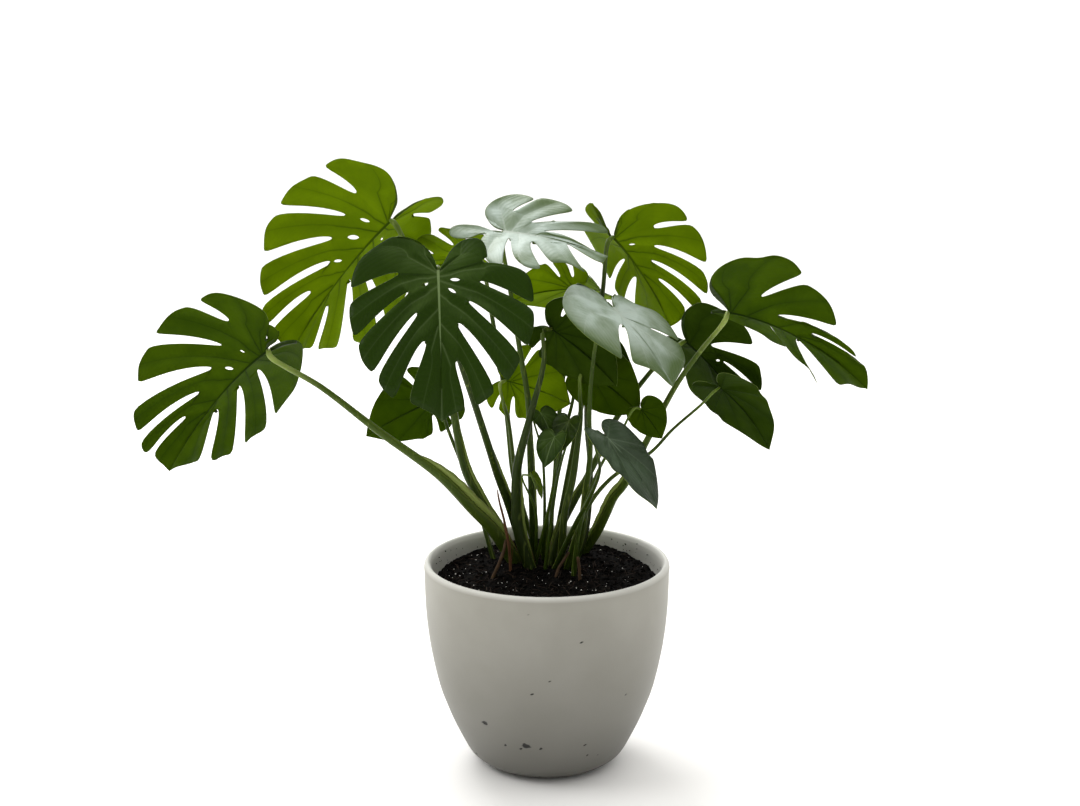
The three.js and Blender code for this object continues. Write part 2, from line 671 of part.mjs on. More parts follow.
// Adds one half of the blade, lobe by lobe, and returns the points along its midrib.
function addHalf(flat, leaf, side, sign) {
  const joint = [0, ribHalfWidth(leaf, 0)];
  const tip = [leaf.length, 0];
  const edges = side.slits.map((_, number) => slitEdges(leaf, side, number));
  const rows = side.slits.length ? 2 + SLIT_STEPS.length : 3;
  const ribPoints = [];
  side.margins.forEach((margin, lobe) => {
    const first = lobe === 0;
    const last = lobe === side.margins.length - 1;
    const outer = [...(first ? [joint] : []), ...pairs(margin), ...(last ? [tip] : [])];
    const low = first ? Array(rows).fill(joint) : edges[lobe - 1].nearTip;
    const start = first ? joint : edges[lobe - 1].foot;
    const high = last
      ? Array.from({ length: rows }, (_, j) => mix(start, tip, j / (rows - 1)))
      : edges[lobe].nearBase;
    const reach = outer.map((p, i) => (i ? Math.hypot(p[0] - outer[i - 1][0], p[1] - outer[i - 1][1]) : 0));
    const total = reach.reduce((sum, d) => sum + d, 0);
    let passed = 0;
    const columns = outer.map((p, i) => {
      passed += reach[i];
      const u = passed / total;
      return Array.from({ length: rows }, (_, j) => {
        const t = j / (rows - 1);
        const pull = first || last ? t : t ** 1.5;
        const straight = mix(low[j], high[j], u);
        const chord = mix(low[rows - 1], high[rows - 1], u);
        return [straight[0] + (p[0] - chord[0]) * pull, straight[1] + (p[1] - chord[1]) * pull];
      });
    });
    columns.forEach((column) => ribPoints.push(column[0]));
    if (last) {
      high.forEach((p) => ribPoints.push(p));
    }
    for (let i = 0; i < columns.length - 1; i += 1) {
      for (let j = 0; j < rows - 1; j += 1) {
        const [a, b, c, d] = [columns[i][j], columns[i + 1][j], columns[i + 1][j + 1], columns[i][j + 1]]
          .map(([x, y]) => [x, y * sign]);
        if (sign > 0) {
          flat.add(a, b, c);
          flat.add(a, c, d);
        } else {
          flat.add(a, c, b);
          flat.add(a, d, c);
        }
      }
    }
  });
  return ribPoints
    .map(([x, y]) => [x, y * sign])
    .sort((p, q) => p[0] - q[0])
    .filter((p, i, all) => i === 0 || p[0] - all[i - 1][0] > 0.002);
}

// Joins the two halves with the strip of the midrib.
function addMidrib(flat, left, right) {
  let i = 0;
  let j = 0;
  while (i < left.length - 1 || j < right.length - 1) {
    const stepRight = i === left.length - 1 || (j < right.length - 1 && right[j + 1][0] < left[i + 1][0]);
    if (stepRight) {
      flat.add(right[j], right[j + 1], left[i]);
      j += 1;
    } else {
      flat.add(left[i], right[j], left[i + 1]);
      i += 1;
    }
  }
}

// Gives the flat blade its place in space and its thickness, split alike on both faces.
function thicken(leaf, flat) {
  const frame = bladeFrame(leaf);
  const half = BLADE_THICKNESS / 2;
  const upper = flat.points.map(([x, y]) =>
    onBlade(leaf, frame, x, y).addScaledVector(bladeNormal(leaf, frame, x, y), half));
  const lower = flat.points.map(([x, y]) =>
    onBlade(leaf, frame, x, y).addScaledVector(bladeNormal(leaf, frame, x, y), -half));
  const count = upper.length;
  const triangles = [];
  const rim = new Map();
  flat.triangles.forEach(([a, b, c]) => {
    triangles.push([a, b, c], [a + count, c + count, b + count]);
    [[a, b], [b, c], [c, a]].forEach(([p, q]) => {
      if (!rim.delete(`${q},${p}`)) rim.set(`${p},${q}`, [p, q]);
    });
  });
  rim.forEach(([p, q]) => triangles.push([q, p, p + count], [q, p + count, q + count]));
  return geometryOf([...upper, ...lower], triangles);
}

// Long round punches for the holes of one half of a blade.
const PUNCH_SIDES = 8;
function holePunches(leaf, side, sign) {
  const frame = bladeFrame(leaf);
  return side.holes.map(([number, from, to, halfWidth]) => {
    const { foot, root } = slitEdges(leaf, side, number);
    const middle = mix(foot, root, (from + to) / 2);
    const reach = mix([0, 0], [root[0] - foot[0], root[1] - foot[1]], (to - from) / 2);
    const length = Math.hypot(...reach);
    const out = bladeNormal(leaf, frame, middle[0], middle[1] * sign);
    const corners = [];
    for (let i = 0; i < PUNCH_SIDES; i += 1) {
      const angle = (2 * Math.PI * i) / PUNCH_SIDES;
      const far = Math.cos(angle);
      const wide = (Math.sin(angle) * halfWidth) / length;
      const x = middle[0] + reach[0] * far - reach[1] * wide;
      const y = middle[1] + reach[1] * far + reach[0] * wide;
      const place = onBlade(leaf, frame, x, y * sign);
      corners.push(place.clone().addScaledVector(out, 4).toArray());
      corners.push(place.clone().addScaledVector(out, -4).toArray());
    }
    return wasm.Manifold.hull(corners);
  });
}

function makeBlade(leaf) {
  const flat = new FlatMesh();
  const left = addHalf(flat, leaf, leaf.left, 1);
  const right = addHalf(flat, leaf, leaf.right, -1);
  addMidrib(flat, left, right);
  const punches = [...holePunches(leaf, leaf.left, 1), ...holePunches(leaf, leaf.right, -1)];
  const whole = solidFrom(thicken(leaf, flat));
  return geometryFrom(punches.reduce((blade, punch) => blade.subtract(punch), whole));
}

// The heart outline of one side as shares of the length and of the half width.
const HEART = [
  [-0.12, 0.15], [-0.21, 0.5], [-0.08, 0.86], [0.18, 1], [0.46, 0.9], [0.72, 0.6], [0.9, 0.24],
];

// One side of a small leaf: the heart outline, cut from `cuts` places on its edge.
const CUT_PLACES = [[2, 3], [3, 4], [4, 5]];
function heartSide(leaf) {
  const at = ([x, y]) => [x * leaf.length, y * leaf.halfWidth];
  const margins = [];
  const slits = [];
  let rest = HEART.map(at);
  for (let cut = 0; cut < leaf.cuts; cut += 1) {
    const [from, to] = CUT_PLACES[cut].map((i) => at(HEART[i]));
    const edge = rest.findIndex((p) => p[0] === from[0]);
    const mouth = mix(from, to, 0.3);
    const open = 0.05 * leaf.length;
    margins.push([...rest.slice(0, edge + 1), mix(from, to, 0.2)].flat());
    rest = [[mouth[0] + open, mouth[1] - open * 0.15], ...rest.slice(edge + 1)];
    slits.push([mouth[0] * (0.55 + 0.1 * cut) + 2, mouth[1] * 0.42, 0.018 * leaf.length]);
  }
  margins.push(rest.flat());
  return { margins, slits, holes: [] };
}

const LEAVES = [
  ...LARGE_LEAVES.map((leaf) => ({ ...leaf, ribScale: 1 })),
  ...SMALL_LEAVES.map((leaf) => {
    const side = heartSide(leaf);
    const folds = { foldLeft: leaf.fold, foldRight: leaf.fold, curl: 8 };
    return { ...leaf, ...folds, left: side, right: side, ribScale: leaf.length / 200 };
  }),
];

// ---------------------------------------------------------------- stalks
// The smooth line of a stalk: out of the soil, through its points and up to its blade's joint,
// which it meets at a right angle.
function stalkCurve(leaf, deeper) {
  const { foot, via } = STALKS[leaf.name];
  const frame = bladeFrame(leaf);
  const soil = soilHeight(...foot);
  const entry = new THREE.Vector3(...foot, soil);
  const rise = new THREE.Vector3(...via[0]).sub(entry).normalize();
  const start = entry.addScaledVector(rise, -ROOTED_DEPTH - deeper);
  const joint = new THREE.Vector3(...leaf.joint);
  const neck = joint.clone().addScaledVector(frame.normal, -NECK_LENGTH);
  neck.addScaledVector(frame.along, -NECK_LENGTH / 2);
  const folded = ribHalfWidth(leaf, 0) * Math.sin(radians(Math.min(leaf.foldLeft, leaf.foldRight)));
  const below = BLADE_THICKNESS / 2 + FIT_GAP + 0.15 - 0.8 * folded;
  const end = joint.clone().addScaledVector(frame.normal, -below);
  const points = [start, ...via.map((p) => new THREE.Vector3(...p)), neck, end];
  return new THREE.CatmullRomCurve3(points, false, "centripetal");
}

function stalkGeometry(leaf, wider) {
  const [base, middle, top] = STALKS[leaf.name].radii;
  const radiusAt = (t) => {
    const low = base + (middle - base) * Math.min(1, t * 2);
    return wider + (t < 0.5 ? low : middle + (top - middle) * (t * 2 - 1));
  };
  const curve = stalkCurve(leaf, wider);
  const steps = Math.max(6, Math.round(curve.getLength() / 50));
  return taperedTube(curve, radiusAt, steps, base > 4.5 ? 8 : 6);
}

// ---------------------------------------------------------------- assembly
const plant = new THREE.Group();

function addPiece(name, geometry, material) {
  const mesh = new THREE.Mesh(geometry, material);
  mesh.name = name;
  plant.add(mesh);
}

const rootTube = (points, radius, wider) => {
  const curve = new THREE.CatmullRomCurve3(points.map((p) => new THREE.Vector3(...p)));
  return taperedTube(curve, () => radius + wider, 5, 6);
};

const holes = [
  ...LEAVES.map((leaf) => stalkGeometry(leaf, FIT_GAP)),
  ...AIR_ROOTS.map((root) => rootTube(root.points, root.radius, FIT_GAP)),
  rootTube(HUSK_POINTS, HUSK_RADIUS, FIT_GAP),
].map(solidFrom);

addPiece("pot", makePot(), MATERIALS.pot);
addPiece("soil", makeSoil(holes), MATERIALS.soil);
LEAVES.forEach((leaf) => {
  addPiece(`stalk_${leaf.name}`, stalkGeometry(leaf, 0), MATERIALS.stalk);
  addPiece(`blade_${leaf.name}`, makeBlade(leaf), MATERIALS[leaf.tone]);
});
AIR_ROOTS.forEach((root) => {
  addPiece(root.name, rootTube(root.points, root.radius, 0), MATERIALS.root);
});
addPiece("husk", rootTube(HUSK_POINTS, HUSK_RADIUS, 0), MATERIALS.husk);

export default plant;
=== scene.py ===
"""A potted split-leaf plant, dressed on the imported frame: a smooth pot with soil, and arching
stalks that carry heart-shaped blades, the large ones cut to ribbons. Sizes are in millimetres
until a mesh is made. +X is to the right, +Y to the back and +Z up."""
import math
import random

import bmesh
import bpy
import numpy as np
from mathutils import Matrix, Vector, noise


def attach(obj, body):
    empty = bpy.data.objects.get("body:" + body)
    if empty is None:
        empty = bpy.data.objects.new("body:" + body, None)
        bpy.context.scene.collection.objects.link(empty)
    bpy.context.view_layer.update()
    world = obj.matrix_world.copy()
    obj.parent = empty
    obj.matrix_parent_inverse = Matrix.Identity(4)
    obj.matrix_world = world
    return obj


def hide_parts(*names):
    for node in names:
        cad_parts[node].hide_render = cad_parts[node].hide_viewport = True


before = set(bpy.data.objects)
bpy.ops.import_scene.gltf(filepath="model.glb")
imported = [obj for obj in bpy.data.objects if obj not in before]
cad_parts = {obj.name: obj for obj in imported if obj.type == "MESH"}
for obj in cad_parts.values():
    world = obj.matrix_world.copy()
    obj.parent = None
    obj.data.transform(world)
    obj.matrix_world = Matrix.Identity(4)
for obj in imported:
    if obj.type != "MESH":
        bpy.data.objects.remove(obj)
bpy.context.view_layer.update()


# ------------------------------------------------------------------ the pot
# An egg-shaped planter cast in a mix of cement and fine fibre, ground smooth and sealed matt.
# It is about 10 mm thick, stands on a small round foot and has a rounded lip. Air bubbles at the
# mould left a few pits, most of them low down.
POT_OUTER = [
    (0, 0), (71, 0), (80, 0.8), (90, 3.6), (101, 11), (110, 20), (121.5, 42), (132.5, 65),
    (141.5, 88), (149.6, 111), (157.9, 147), (164.1, 184), (167.5, 219), (169, 254), (169.2, 274),
]
POT_LIP = [(169.9, 281), (168.6, 286.6), (165.2, 289.3), (161.6, 287.4), (159, 282)]
POT_INNER = [
    (158.5, 272), (158.3, 251), (155.6, 207), (149.3, 159), (139.2, 111), (122.1, 65), (104.6, 30),
    (98, 22), (88, 18), (0, 18),
]
POT_SIDES = 300
# Pits, painted near black inside as painted shade: degrees round from the front, height, how wide they
# are across.
POT_PITS = [
    (-35.5, 95, 9), (-12.2, 67.5, 11), (-15.6, 61.2, 4.5), (-3.5, 63.7, 4.5), (-25.4, 64.2, 3.6),
    (-8.5, 267, 2.6), (15.8, 225, 3.2), (-7.2, 152.4, 3.2), (1.3, 170.9, 2.6), (43.3, 134.9, 3),
    (22.8, 65.4, 3.2), (26.2, 46.1, 3.4), (35.2, 41, 2.2), (-6, 8, 2.6), (74, 130, 2.6),
    (101, 60, 3.4), (140, 30, 4), (171, 90, 2.4), (196, 22, 5), (228, 150, 2.2), (252, 44, 3.6),
    (283, 120, 2.4), (301, 26, 4.2),
]
PIT_DEPTH = 1.3
HALF_WALL = 5


def linear(colour):
    """An sRGB hex colour as the linear colour that shaders take."""
    parts = [int(colour[i:i + 2], 16) / 255 for i in (1, 3, 5)]
    return [c / 12.92 if c <= 0.04045 else ((c + 0.055) / 1.055) ** 2.4 for c in parts] + [1]


def add(tree, kind, inputs=None, **settings):
    """Adds one shader node. inputs holds a value, or the output that feeds it, for each socket."""
    made = tree.nodes.new(kind)
    for key, value in settings.items():
        setattr(made, key, value)
    for key, value in (inputs or {}).items():
        if isinstance(value, bpy.types.NodeSocket):
            tree.links.new(value, made.inputs[key])
        else:
            made.inputs[key].default_value = value
    return made


def cells(size):
    """The scale of a pattern whose features are this many millimetres wide."""
    return 1000 / size


def new_material(name):
    """An empty material and its node tree."""
    material = bpy.data.materials.new(name)
    material.use_nodes = True
    material.node_tree.nodes.clear()
    return material, material.node_tree


def piece(name, points, faces, materials, nodes=(), which=None, values=None):
    """One mesh of the object, which rides on the frame. values holds a number for each point."""
    mesh = bpy.data.meshes.new(name)
    mesh.from_pydata((np.asarray(points, float) / 1000).tolist(), [], faces)
    for material in materials:
        mesh.materials.append(material)
    mesh.polygons.foreach_set("use_smooth", [True] * len(mesh.polygons))
    if which is not None:
        mesh.polygons.foreach_set("material_index", which)
    for key, numbers in (values or {}).items():
        layer = mesh.attributes.new(key, "FLOAT", "POINT")
        layer.data.foreach_set("value", np.asarray(numbers, np.float32))
    mesh.update()
    made = bpy.data.objects.new(name, mesh)
    bpy.context.scene.collection.objects.link(made)
    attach(made, "root")
    if nodes:
        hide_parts(*nodes)


def rounded(points, push=0.2, rounds=3):
    """A smooth line close to a polyline's points, with its ends kept."""
    line = np.array(points, float)
    if len(line) > 2:
        line[1:-1] += push * (line[1:-1] - (line[:-2] + line[2:]) / 2)
    for _ in range(rounds):
        near = line[:-1] * 0.75 + line[1:] * 0.25
        far = line[:-1] * 0.25 + line[1:] * 0.75
        between = np.empty((2 * len(near), line.shape[1]))
        between[0::2] = near
        between[1::2] = far
        line = np.vstack([line[:1], between, line[-1:]])
    return line


def spaced(line, shares):
    """Points at the given shares of a line's length."""
    reach = np.concatenate([[0], np.cumsum(np.linalg.norm(np.diff(line, axis=0), axis=1))])
    want = np.asarray(shares) * reach[-1]
    return np.stack([np.interp(want, reach, line[:, k]) for k in range(line.shape[1])], axis=1)


def turned(profile, sides):
    """Points and faces of a profile of radius and height turned round the upright axis."""
    angles = np.linspace(0, 2 * math.pi, sides, endpoint=False)
    inner = profile[1:-1]
    points = [(0, 0, profile[0][1]), (0, 0, profile[-1][1])]
    for radius, height in inner:
        points += [(radius * math.sin(a), -radius * math.cos(a), height) for a in angles]
    at = lambda ring, k: 2 + ring * sides + k % sides
    faces = []
    for k in range(sides):
        faces.append([0, at(0, k + 1), at(0, k)])
        for r in range(len(inner) - 1):
            faces.append([at(r, k), at(r, k + 1), at(r + 1, k + 1), at(r + 1, k)])
        faces.append([at(len(inner) - 1, k), at(len(inner) - 1, k + 1), 1])
    return np.array(points), faces


wall = np.vstack([
    spaced(rounded(POT_OUTER), np.linspace(0, 1, 190)),
    spaced(rounded(POT_LIP), np.linspace(0, 1, 16)),
    spaced(rounded(POT_INNER), np.linspace(0, 1, 60)),
])
pot_points, pot_faces = turned(wall, POT_SIDES)
pot_angle = np.degrees(np.arctan2(pot_points[:, 0], -pot_points[:, 1]))
pot_radius = np.hypot(pot_points[:, 0], pot_points[:, 1])
pot_height = pot_points[:, 2]
outer_heights, outer_radii = zip(*[(height, radius) for radius, height in POT_OUTER[1:]])
pot_inside = pot_radius < np.interp(pot_height, outer_heights, outer_radii) - HALF_WALL
can_be_pitted = ~pot_inside | (pot_radius > 152) | (pot_height < 15)

# A pit is a ragged oval that leans a little and is deepest in its middle. There are pits outside,
# and inside near the rim.
pit_depth = np.zeros(len(pot_points))
for degrees, height, width in POT_PITS:
    round_way = (pot_angle - degrees + 180) % 360 - 180
    across = np.radians(round_way) * pot_radius
    up = (pot_height - height) * 1.5 + 0.25 * across
    turn = np.arctan2(up, across)
    ragged = 0.16 * np.sin(3 * turn + height) + 0.1 * np.sin(5 * turn + degrees)
    far = np.hypot(across, up) / (width / 2) + ragged
    pit_depth = np.maximum(pit_depth, np.where(can_be_pitted, np.clip(1.25 - far, 0, 1), 0))
shrink = 1 - pit_depth * PIT_DEPTH / np.maximum(pot_radius, 60)
pot_points[:, 0] *= shrink
pot_points[:, 1] *= shrink

# Sealed cement and fibre: an even matt grey-beige that is a little mottled. It is painted darker
# towards the foot as painted shade, paler on the lip and inside as painted light, and near black in
# its pits as painted shade. Its sand is too fine to show, so it is drawn 2.4 mm wide.
# Height by which the painted shade at the foot has faded out.
FOOT_SHADE_TO = 0.27  # metres up, as the shader counts
# Heights over which the painted light on the lip comes in.
LIP_FROM, LIP_TO = 0.282, 0.288
cast, tree = new_material("cast_fibre_cement_sealed_matt")
place = add(tree, "ShaderNodeTexCoord")
clouds = add(tree, "ShaderNodeTexNoise", {
    "Vector": place.outputs["Object"], "Scale": cells(110), "Detail": 5.0,
})
grain = add(tree, "ShaderNodeTexNoise", {
    "Vector": place.outputs["Object"], "Scale": cells(2.4), "Detail": 3.0,
})
pits = add(tree, "ShaderNodeAttribute", attribute_name="pit")
height = add(tree, "ShaderNodeSeparateXYZ", {"Vector": place.outputs["Object"]})
low = add(tree, "ShaderNodeMapRange", {
    "Value": height.outputs["Z"], "From Min": 0.0, "From Max": FOOT_SHADE_TO,
})
cloud = add(tree, "ShaderNodeMapRange", {
    "Value": clouds.outputs["Fac"], "From Min": 0.35, "From Max": 0.65,
})
mottled = add(tree, "ShaderNodeMix", {
    0: cloud.outputs[0], 6: linear("#96948a"), 7: linear("#a09e95"),
}, data_type="RGBA")
# Painted shade: the colour turns darker towards the foot.
damp = add(tree, "ShaderNodeMix", {
    0: low.outputs[0], 6: linear("#5e5d57"), 7: mottled.outputs[2],
}, data_type="RGBA")
# Painted shade: the pits are mixed towards near black, darkest in their middles.
pit_painted_shade = add(tree, "ShaderNodeMapRange", {
    "Value": pits.outputs["Fac"], "From Min": 0.1, "From Max": 0.35,
})
# Painted light: the lip and the inside wall are mixed towards a pale colour.
lip = add(tree, "ShaderNodeMapRange", {
    "Value": height.outputs["Z"], "From Min": LIP_FROM, "From Max": LIP_TO,
})
inside = add(tree, "ShaderNodeAttribute", attribute_name="inside")
bright = add(tree, "ShaderNodeMath", {
    0: lip.outputs[0], 1: inside.outputs["Fac"],
}, operation="MAXIMUM")
lip_and_inside_painted_light = add(tree, "ShaderNodeMix", {
    0: bright.outputs[0], 6: damp.outputs[2], 7: linear("#cecdc6"),
}, data_type="RGBA")
pitted = add(tree, "ShaderNodeMix", {
    0: pit_painted_shade.outputs[0], 6: lip_and_inside_painted_light.outputs[2], 7: linear("#0e0c0a"),
}, data_type="RGBA")
rough = add(tree, "ShaderNodeBump", {
    "Height": grain.outputs["Fac"], "Strength": 0.12, "Distance": 0.0004,
})
shine = add(tree, "ShaderNodeMapRange", {
    "Value": clouds.outputs["Fac"], "To Min": 0.42, "To Max": 0.56,
})
surface = add(tree, "ShaderNodeBsdfPrincipled", {
    "Base Color": pitted.outputs[2], "Roughness": shine.outputs[0], "Normal": rough.outputs[0],
    "IOR": 1.48,
})
add(tree, "ShaderNodeOutputMaterial", {"Surface": surface.outputs[0]})
piece(
    "planter", pot_points, pot_faces, [cast], ["pot"],
    values={"pit": pit_depth, "inside": pot_inside},
)


# ------------------------------------------------------------------ the soil
# Loose potting soil of peat and bark, poured in to 35 mm below the rim, banked up at the back and
# pressed round the crown. White perlite and short fibres lie on it, and crumbs stick to the wall.
SOIL_EDGE = 251
SOIL_MOUND = 7
SOIL_BANK = 18
SOIL_SIDES = 320
SOIL_RINGS = np.concatenate([np.linspace(2, 150, 74), np.linspace(151.5, 158, 6)])
# Radius and height of the soil where it lies against the pot's inside, from the top down.
SOIL_UNDER = [
    (157.9, 244), (155.2, 207), (148.9, 159), (138.8, 111), (121.7, 65), (104.2, 30), (97.6, 22.3),
    (87.6, 18.3),
]


def soil_height(x, y):
    """The even height of the soil, as in the frame."""
    far = np.minimum(1, np.hypot(x, y) / 150)
    crumbs = np.sin(x / 7 + 1.3 * np.sin(y / 11)) * np.cos(y / 8 + 0.7 * np.sin(x / 13))
    bank = SOIL_BANK * np.maximum(0, y / 150) ** 1.3
    return SOIL_EDGE + SOIL_MOUND * (1 - far * far) + bank + 1.6 * crumbs * (1 - far ** 6)


def rough_height(x, y):
    """The soil's own surface: clods, crumbs and hollows on the even height."""
    clods = noise.fractal(Vector((x / 17, y / 17, 3.1)), 0.9, 2.1, 3) * 2.6
    crumbs = abs(noise.fractal(Vector((x / 5.2, y / 5.2, 7.7)), 0.7, 2.2, 3)) * 2.8
    return float(soil_height(x, y)) + clods + crumbs - 1.2


soil_points = [(0, 0, rough_height(0, 0))]
for radius, z in [(r, None) for r in SOIL_RINGS] + SOIL_UNDER:
    for k in range(SOIL_SIDES):
        a = 2 * math.pi * k / SOIL_SIDES
        x, y = radius * math.sin(a), -radius * math.cos(a)
        banked = 0.8 if radius > 150 else 0
        soil_points.append((x, y, rough_height(x, y) + banked if z is None else z))
soil_points.append((0, 0, SOIL_UNDER[-1][1]))
soil_faces = []
rings = len(SOIL_RINGS) + len(SOIL_UNDER)
at = lambda ring, k: 1 + ring * SOIL_SIDES + k % SOIL_SIDES
for k in range(SOIL_SIDES):
    soil_faces.append([0, at(0, k), at(0, k + 1)])
    for r in range(rings - 1):
        soil_faces.append([at(r, k), at(r + 1, k), at(r + 1, k + 1), at(r, k + 1)])
    soil_faces.append([at(rings - 1, k), len(soil_points) - 1, at(rings - 1, k + 1)])

# Damp peat: nearly black brown, matt, with paler dry crumbs on top.
peat, tree = new_material("damp_peat_and_bark")
place = add(tree, "ShaderNodeTexCoord")
lumps = add(tree, "ShaderNodeTexNoise", {
    "Vector": place.outputs["Object"], "Scale": cells(5.2), "Detail": 6.0, "Roughness": 0.7,
})
dry = add(tree, "ShaderNodeMapRange", {
    "Value": lumps.outputs["Fac"], "From Min": 0.5, "From Max": 0.76,
})
tone = add(tree, "ShaderNodeMix", {
    0: dry.outputs[0], 6: linear("#060504"), 7: linear("#261f1a"),
}, data_type="RGBA")
rough = add(tree, "ShaderNodeBump", {
    "Height": lumps.outputs["Fac"], "Strength": 0.9, "Distance": 0.002,
})
surface = add(tree, "ShaderNodeBsdfPrincipled", {
    "Base Color": tone.outputs[2], "Roughness": 0.9, "Normal": rough.outputs[0],
    "Specular IOR Level": 0.06,
})
add(tree, "ShaderNodeOutputMaterial", {"Surface": surface.outputs[0]})
piece("soil_bed", soil_points, soil_faces, [peat], ["soil"])

SCATTER_REACH = (6, 154)


def scatter(count, seed, size, flat):
    """Small ragged lumps on the soil: size is a range of widths, flat how thick they are."""
    chance = random.Random(seed)
    ball = bmesh.new()
    bmesh.ops.create_icosphere(ball, subdivisions=1, radius=1)
    shape = np.array([v.co for v in ball.verts])
    corners = [[v.index for v in f.verts] for f in ball.faces]
    ball.free()
    points, faces = [], []
    for _ in range(count):
        radius = math.sqrt(chance.uniform(SCATTER_REACH[0] ** 2, SCATTER_REACH[1] ** 2))
        a = chance.uniform(0, 2 * math.pi)
        x, y = radius * math.cos(a), radius * math.sin(a)
        width = chance.uniform(*size) * chance.uniform(0.6, 1)
        deep, thick = width * chance.uniform(0.45, 1), width * flat * chance.uniform(0.6, 1.2)
        lump = shape * np.array([[chance.uniform(0.7, 1.25)] for _ in shape])
        lump = lump * np.array([width, deep, thick]) / 2
        turn, lean = chance.uniform(0, 6.3), chance.uniform(-0.6, 0.6)
        c, s = math.cos(lean), math.sin(lean)
        lump = lump @ np.array([[1, 0, 0], [0, c, -s], [0, s, c]])
        c, s = math.cos(turn), math.sin(turn)
        lump = lump @ np.array([[c, -s, 0], [s, c, 0], [0, 0, 1]])
        first = len(points)
        points += (lump + (x, y, rough_height(x, y) + width * flat * 0.18)).tolist()
        faces += [[first + i for i in f] for f in corners]
    return points, faces


points, faces = scatter(count=2600, seed=11, size=(2.2, 6.5), flat=0.7)
clods, clod_faces = scatter(count=260, seed=12, size=(6, 12), flat=0.42)
faces += [[len(points) + i for i in f] for f in clod_faces]
points += clods
piece("soil_crumbs", points, faces, [peat])

# Bark chips and coir: flat brown slivers, a little paler than the peat.
bark, tree = new_material("shredded_bark_and_coir")
place = add(tree, "ShaderNodeTexCoord")
lumps = add(tree, "ShaderNodeTexNoise", {
    "Vector": place.outputs["Object"], "Scale": cells(17), "Detail": 2.0,
})
tone = add(tree, "ShaderNodeMix", {
    0: lumps.outputs["Fac"], 6: linear("#120d09"), 7: linear("#43352c"),
}, data_type="RGBA")
surface = add(tree, "ShaderNodeBsdfPrincipled", {
    "Base Color": tone.outputs[2], "Roughness": 0.8, "Specular IOR Level": 0.1,
})
add(tree, "ShaderNodeOutputMaterial", {"Surface": surface.outputs[0]})
chance = random.Random(5)
points, faces = [], []
for _ in range(420):
    radius = math.sqrt(chance.uniform(20 ** 2, 154 ** 2))
    a = chance.uniform(0, 2 * math.pi)
    x, y = radius * math.cos(a), radius * math.sin(a)
    turn, lean = chance.uniform(0, math.pi), chance.uniform(-0.45, 0.45)
    length, width = chance.uniform(5, 19), chance.uniform(0.5, 1.6)
    level = np.array([math.cos(turn), math.sin(turn), 0])
    along = level * math.cos(lean) + (0, 0, math.sin(lean))
    side = np.array([-math.sin(turn), math.cos(turn), 0])
    middle = np.array([x, y, rough_height(x, y) + 1.1])
    bow = np.array([0, 0, chance.uniform(0.3, 2)])
    first = len(points)
    for share in (-0.5, -0.2, 0.15, 0.5):
        core = middle + along * length * share + bow * (0.25 - share * share) * 4
        wide = width * (1 - 1.3 * share * share)
        half, thick = side * wide / 2, np.array([0, 0, 0.35])
        points += [core + half, core + thick, core - half, core - thick]
    for ring in range(3):
        for k in range(4):
            b = first + ring * 4
            faces.append([b + k, b + (k + 1) % 4, b + 4 + (k + 1) % 4, b + 4 + k])
    faces.append([first + 3, first + 2, first + 1, first])
    faces.append([first + 12, first + 13, first + 14, first + 15])
piece("soil_fibres", points, faces, [bark])

# Perlite: popped volcanic glass, chalk white, light and crumbly.
perlite, tree = new_material("perlite_grains")
surface = add(tree, "ShaderNodeBsdfPrincipled", {
    "Base Color": linear("#e9e6de"), "Roughness": 0.85,
})
add(tree, "ShaderNodeOutputMaterial", {"Surface": surface.outputs[0]})
points, faces = scatter(count=230, seed=23, size=(1.3, 3.4), flat=0.8)
piece("perlite", points, faces, [perlite])

# Crumbs that stick to the inner wall above the soil.
chance = random.Random(31)
points, faces = [], []
for _ in range(150):
    a = chance.uniform(0, 2 * math.pi)
    z = 252 + SOIL_BANK * max(0, math.sin(a)) ** 1.3 + 22 * chance.random() ** 2
    size = chance.uniform(0.4, 1.3)
    radius = 158.35 - size * 0.1
    middle = np.array([radius * math.cos(a), radius * math.sin(a), z])
    first = len(points)
    for dx, dy, dz in ((1, 0, 0), (-1, 0, 0), (0, 1, 0), (0, -1, 0), (0, 0, 1), (0, 0, -1)):
        points.append(middle + np.array([dx, dy, dz]) * size * chance.uniform(0.6, 1.2))
    for f in ((0, 2, 4), (2, 1, 4), (1, 3, 4), (3, 0, 4), (2, 0, 5), (1, 2, 5), (3, 1, 5), (0, 3, 5)):
        faces.append([first + i for i in f])
piece("wall_crumbs", points, faces, [peat])


# ------------------------------------------------------------------ the low left leaf
# The lowest large leaf hangs far out on a long arching stalk. A stalk is fleshy, with a channel
# that has papery wings low down, and a swollen neck under the blade. A blade is leathery, about
# 0.8 mm thick, with a strong midrib and one vein to each lobe.
BLADE_THICKNESS = 0.8
RIB_HALF_WIDTH = 2.4  # of a full-grown midrib, where the stalk joins it
SIDE_CURL = math.radians(8) / 100  # for each millimetre from the midrib
CROWN = (4, 72)
STALK_DEPTH = 22  # how far a stalk goes down into the soil
NECK_DROP = 15  # from a blade down to the point where the neck starts to turn into it
CHANNEL_EDGE = 0.8  # radians round from the middle of the channel
WING_STEPS = 89


def leaf_frame(leaf):
    """Directions of a blade at its joint: along the midrib, to the left and out of the upper face."""
    heading, pitch, roll = (math.radians(leaf[key]) for key in ("heading", "pitch", "roll"))
    level = np.array([math.cos(heading), math.sin(heading), 0])
    along = level * math.cos(pitch) + (0, 0, math.sin(pitch))
    straight = np.cross(along, [-math.sin(heading), math.cos(heading), 0])
    normal = straight * math.cos(roll) + np.cross(along, straight) * math.sin(roll)
    return along, np.cross(normal, along), normal


def rib_half_width(leaf, x):
    """Half the width of the midrib, at a distance from the joint."""
    return RIB_HALF_WIDTH * leaf.get("rib", 1) * (1 - x / leaf["length"])


